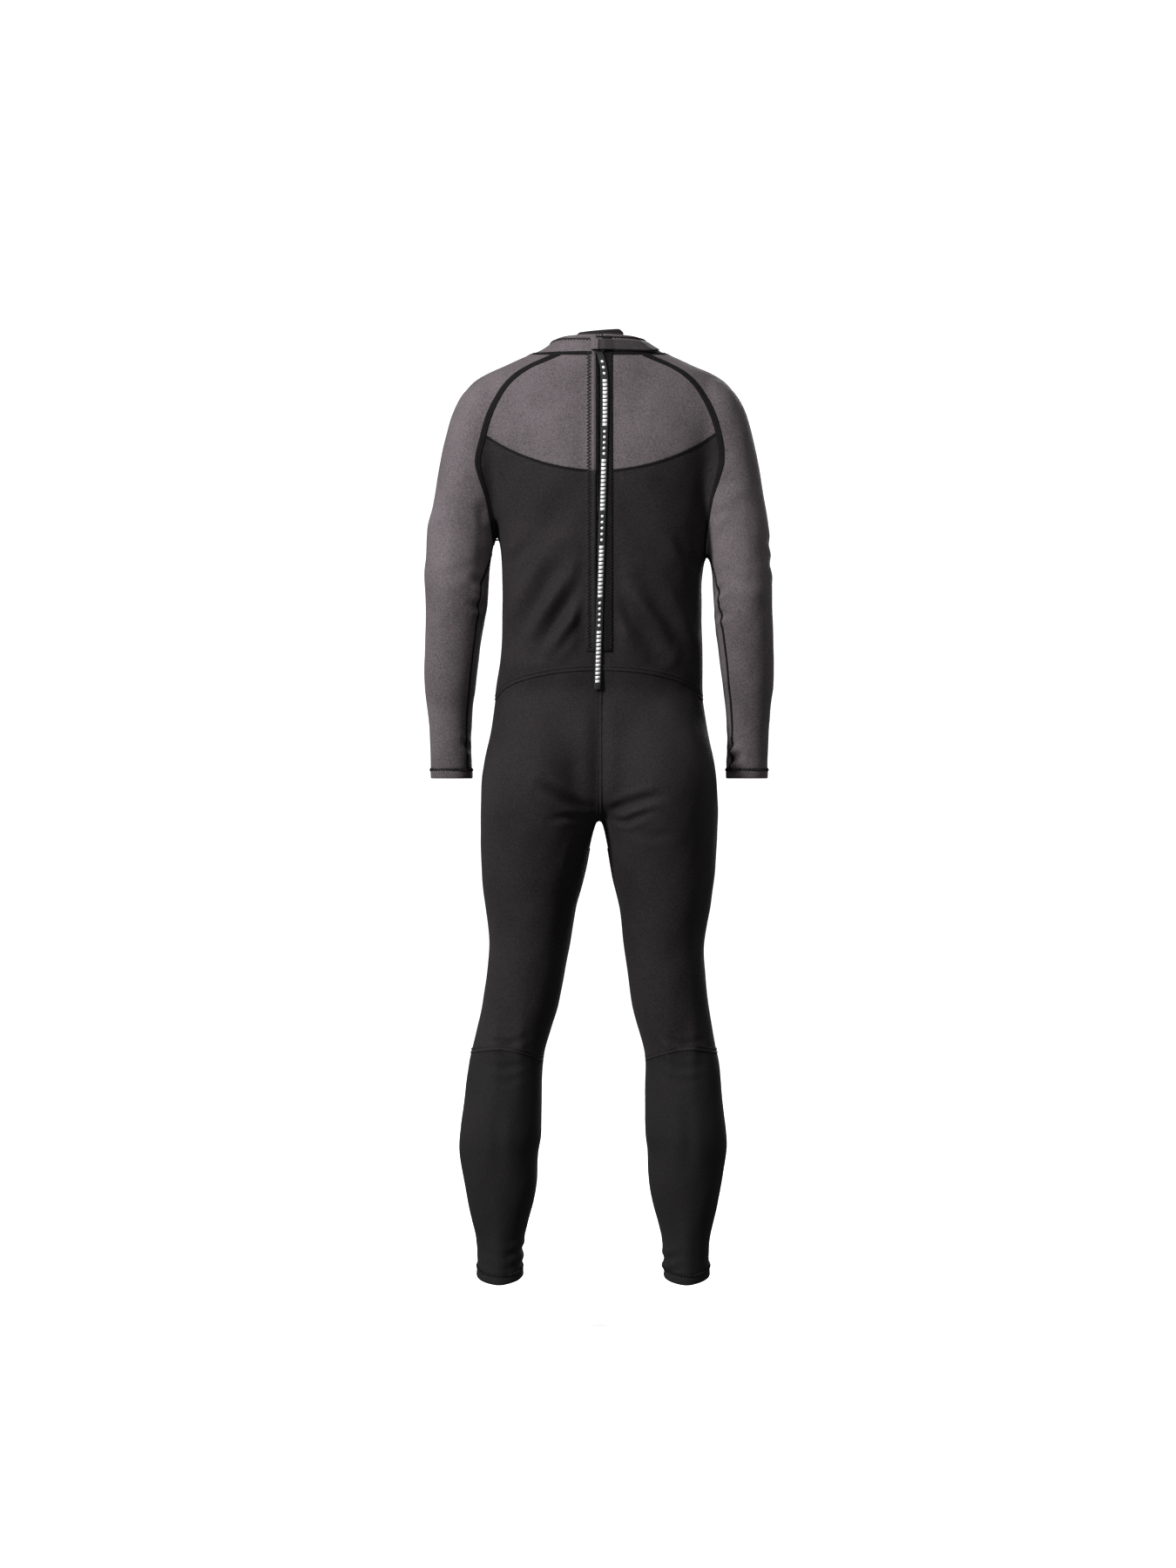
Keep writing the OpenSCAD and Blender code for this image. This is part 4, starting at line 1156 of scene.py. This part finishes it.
def strap_pt(zq, dx, out):
    """Points on the strap at heights zq, dx across it and out from its middle."""
    zq = zq + 0.0 * np.asarray(dx)
    return on_arc(np.interp(zq, strap_z[::-1], strap_x[::-1]) + dx, zq, STRAP_OUT + out)


# the eye: the webbing goes round the puller's bar and is sewn to itself
EYE_IN, EYE_OUT, EYE_W = 1.32, 2.35, 5.2
eye = [[BAR + (x, -r * math.cos(a), r * math.sin(a))
        for r, x in ((EYE_IN, -EYE_W), (EYE_IN, EYE_W), (EYE_OUT, EYE_W), (EYE_OUT, -EYE_W))]
       for a in np.linspace(math.radians(-60), math.radians(250), 22)]
eye_ob = solid("visual_strap_eye", np.array(eye))
bevel(eye_ob, 0.0003, 50)
dress(eye_ob, WEB, "strap")

# the end piece: webbing folded over and sewn
prof = [(-5, -0.9), (-4.4, -1.3), (4.4, -1.3), (5, -0.9), (5, 0.9), (4.4, 1.3), (-4.4, 1.3), (-5, 0.9)]
zq = np.linspace(STRAP_LOW, -545.6, 12)
r = 1 - 0.22 * np.abs(np.linspace(-1, 1, 12)) ** 6
rows = [on_arc(strap_x[-1] + x * (0.97 + 0.03 * r), zq, STRAP_OUT + out * r) for x, out in prof]
end_ob = solid("visual_strap_end", np.stack(rows, 1))
dress(end_ob, WEB, "strap", ("strap_end",))

# the print: plain white bars in groups, with round dots between the groups
bars = Batch()
INK_LOW, INK_TOP = H - 0.05, H + 0.07
BAR_PITCH, BAR_LEN, BAR_HALF = 6.4, 4.4, 3.5
DOT_R, DOT_PITCH, DOT_SIDES = 2.3, 10, 14


def bar(top):
    zq = np.linspace(top, top - BAR_LEN, 3)
    corners = ((-BAR_HALF, INK_LOW), (-BAR_HALF, INK_TOP), (BAR_HALF, INK_TOP), (BAR_HALF, INK_LOW))
    rows = np.stack([strap_pt(zq, x, out) for x, out in corners], 1)
    bars.add(rows.reshape(-1, 3), capped_faces(3, 4))


def dot(zc):
    b = np.linspace(0, 2 * np.pi, DOT_SIDES, endpoint=False)
    rings = [strap_pt(zc + DOT_R * np.sin(b), DOT_R * np.cos(b), out) for out in (INK_TOP, INK_LOW)]
    bars.add(np.concatenate(rings), capped_faces(2, DOT_SIDES))


low = -16.0
for top, count in ((-55, 12), (-183, 13), (-320, 13), (-454, 13)):
    dots = int((low - top) / DOT_PITCH)
    for i in range(1, dots + 1):
        dot(low + (top - low) * i / (dots + 1))
    for i in range(count):
        bar(top - i * BAR_PITCH)
    low = top - (count - 1) * BAR_PITCH - BAR_LEN
print_ob = bars.make("visual_strap_print")
dress(print_ob, PRINT, "strap")
sew = Batch()
for dx in (-4.2, 4.2):
    sew.add(*tube_arrays(strap_pt(np.linspace(-12.5, -24, 8), dx, H + 0.1), 0.25, 4))
for zq, out in ((-12.5, H + 0.1), (-24, H + 0.1), (-539.4, 1.32), (-543.4, 1.32)):
    sew.add(*tube_arrays(strap_pt(zq, np.linspace(-4.2, 4.2, 8), out), 0.25, 4))
sew_ob = sew.make("visual_strap_stitch")
dress(sew_ob, THREAD, "strap")


# ---- the neck tab
TAB_REACH = 87                        # the width that one share of the tab covers at its root


def tab_under(f):
    """How far the tab's inner face stands off the collar at share f along it."""
    return np.where(f < 0.25, np.interp(f, [-0.15, -0.1, 0.1, 0.25], [0.4, 6.4, 6.4, 2.9]), 2.5)


def wrap_pt(f, r, out):
    """Point of the tab at share f along it, r from its upper to its lower edge, out from the collar."""
    k = np.clip((f - 0.7) / 0.25, 0, 1)
    top, low = 11.5 - k, -6 + 3 * k
    zq = top + (low - top) * r
    wide = at(TORSO, zq)[:, 0]
    x = f * (TAB_REACH + (wide + 3 - TAB_REACH) * np.clip((f - 0.1) / 0.5, 0, 1))
    half, behind, _, power = at(TORSO, zq - out).T
    flat = np.clip(1 - np.minimum(np.abs(x) / (half + out), 1) ** power, 0, 1) ** (1 / power)
    return np.stack([x, -(behind + out) * flat, zq], 1)


def wrapped(name, f0, f1, under, thick, edge=0.05, round_end=0.0):
    """A soft strip round the collar with rounded edges."""
    n = max(6, int((f1 - f0) * 90))
    across = np.array([1 - edge, 0.75, 0.5, 0.25, edge, 0.0, edge, 0.35, 0.65, 1 - edge, 1.0])
    height = np.array([1.0, 1.05, 1.06, 1.05, 1.0, 0.5, 0.0, 0.0, 0.0, 0.0, 0.5])
    rows = []
    for i in range(n + 1):
        f = np.full(len(across), f0 + (f1 - f0) * i / n)
        q = 1.0
        if round_end and f[0] > f1 - round_end:
            q = math.sqrt(max(0.0, 1 - ((f[0] - f1 + round_end) / round_end) ** 2 * 0.55))
        end = 0.5 if i in (0, n) else 1.0
        out = tab_under(f) + under + thick * (0.5 + (height - 0.5) * end)
        rows.append(wrap_pt(f, 0.5 + (across - 0.5) * q, out))
    return solid("visual_" + name, np.stack(rows))


dress(wrapped("neck_tab", -0.15, 0.95, 0, 2, 0.07, 0.05), TAB, "tab", ("neck_tab",))
dress(wrapped("neck_tab_hooks", 0.6, 0.9, -1.3, 1), LOOP, "tab", ("neck_tab_hooks",))
dress(wrapped("neck_loop_pad", 0.45, 0.95, -2.2, 0.7), LOOP, "suit", ("neck_loop_pad",))
sew = Batch()
f = np.linspace(-0.13, 0.91, 60)
for r in (0.12, 0.88):
    sew.add(*tube_arrays(resample(wrap_pt(f, np.full(60, r), tab_under(f) + 2.12), 1.6), 0.28, 4))
r = np.linspace(0.12, 0.88, 8)
for f in (np.full(8, 0.58), np.full(8, 0.91)):
    sew.add(*tube_arrays(wrap_pt(f, r, tab_under(f) + 2.14), 0.28, 4))
dress(wrapped("tab_patch", 0.80, 0.955, 2.05, 0.9, 0.08, 0.02), LOOP, "tab")
# the collar's grey end, sewn over the root of the tab
dress(wrapped("tab_cap", -0.155, -0.015, 2.05, 1.2), GREY, "tab")
dress(sew.make("visual_tab_stitch"), GREY_THREAD, "tab")

dress(stitches.make("visual_stitches"), THREAD, "suit")

# the wearer's legs stand a little to the left
LEG_LEAN = 10 * MM
for ob in bpy.data.objects:
    if ob.type == 'MESH' and ob.name.startswith("visual_"):
        P = np.empty(len(ob.data.vertices) * 3)
        ob.data.vertices.foreach_get("co", P)
        P[0::3] -= LEG_LEAN * ease(-P[2::3], 0.70, 1.30)
        ob.data.vertices.foreach_set("co", P)
        ob.data.update()


# ---- floor, backdrop and light
def studio():
    """A wide round bowl, pale all over, which stands under and around the suit."""
    prof = [(r, 0.0) for r in (0.02, 0.6, 1.5, 3.0, 5.0, 7.5)]
    prof += [(7.5 + 2.5 * math.sin(a), 2.5 - 2.5 * math.cos(a)) for a in np.linspace(0.12, math.pi / 2, 14)]
    prof += [(10.0, 6.0), (10.0, 10.0)]
    floor = -1.566
    around = np.linspace(0, 2 * np.pi, 72, endpoint=False)
    v = [(r * math.cos(t) / MM, r * math.sin(t) / MM, (z + floor) / MM) for r, z in prof for t in around]
    ob = mesh_object("studio_floor", v, ring_faces(len(prof), 72) + [tuple(range(72))])
    m, nt, b, co = new_material("studio_paint")
    pale = tint(nt, noise(nt, co, 1.5, 2), (0.86, 0.86, 0.855), (0.90, 0.90, 0.895))
    nt.links.new(pale, b.inputs["Base Color"])
    b.inputs["Roughness"].default_value = 0.9
    b.inputs["Specular IOR Level"].default_value = 0.1
    b.inputs["Emission Color"].default_value = (1, 1, 1, 1)
    b.inputs["Emission Strength"].default_value = 0.95
    ob.data.materials.append(m)
    ob.visible_diffuse = ob.visible_glossy = ob.visible_shadow = False


studio()


def softbox(name, place, aim, size, watts, colour=(1, 1, 1)):
    light = bpy.data.lights.new(name, 'AREA')
    light.shape = 'RECTANGLE'
    light.size, light.size_y = size
    light.energy = watts
    light.color = colour
    ob = bpy.data.objects.new(name, light)
    ob.location = place
    ob.rotation_euler = (Vector(aim) - Vector(place)).to_track_quat('-Z', 'Y').to_euler()
    bpy.context.scene.collection.objects.link(ob)


softbox("key", (-3.9, -3.9, 1.9), (0, 0, -0.5), (1.1, 1.5), 500)
softbox("fill", (3.0, -4.6, 0.3), (0, 0, -0.8), (1.8, 2.4), 14)
softbox("top", (-0.4, -1.4, 3.0), (0, 0, -0.5), (2.0, 1.6), 45)
softbox("rim_right", (3.0, 1.6, 0.8), (0, 0, -0.7), (1.2, 2.4), 8)
softbox("rim_left", (-3.0, 1.6, 0.6), (0, 0, -0.7), (1.2, 2.4), 18)
softbox("front", (1.6, 4.6, 1.4), (0, 0, -0.6), (2.0, 2.4), 170)
world = bpy.data.worlds.new("studio")
world.use_nodes = True
world.node_tree.nodes["Background"].inputs["Color"].default_value = (0.97, 0.97, 0.975, 1)
world.node_tree.nodes["Background"].inputs["Strength"].default_value = 0.17
bpy.context.scene.world = world
bpy.context.scene.view_settings.view_transform = 'Standard'
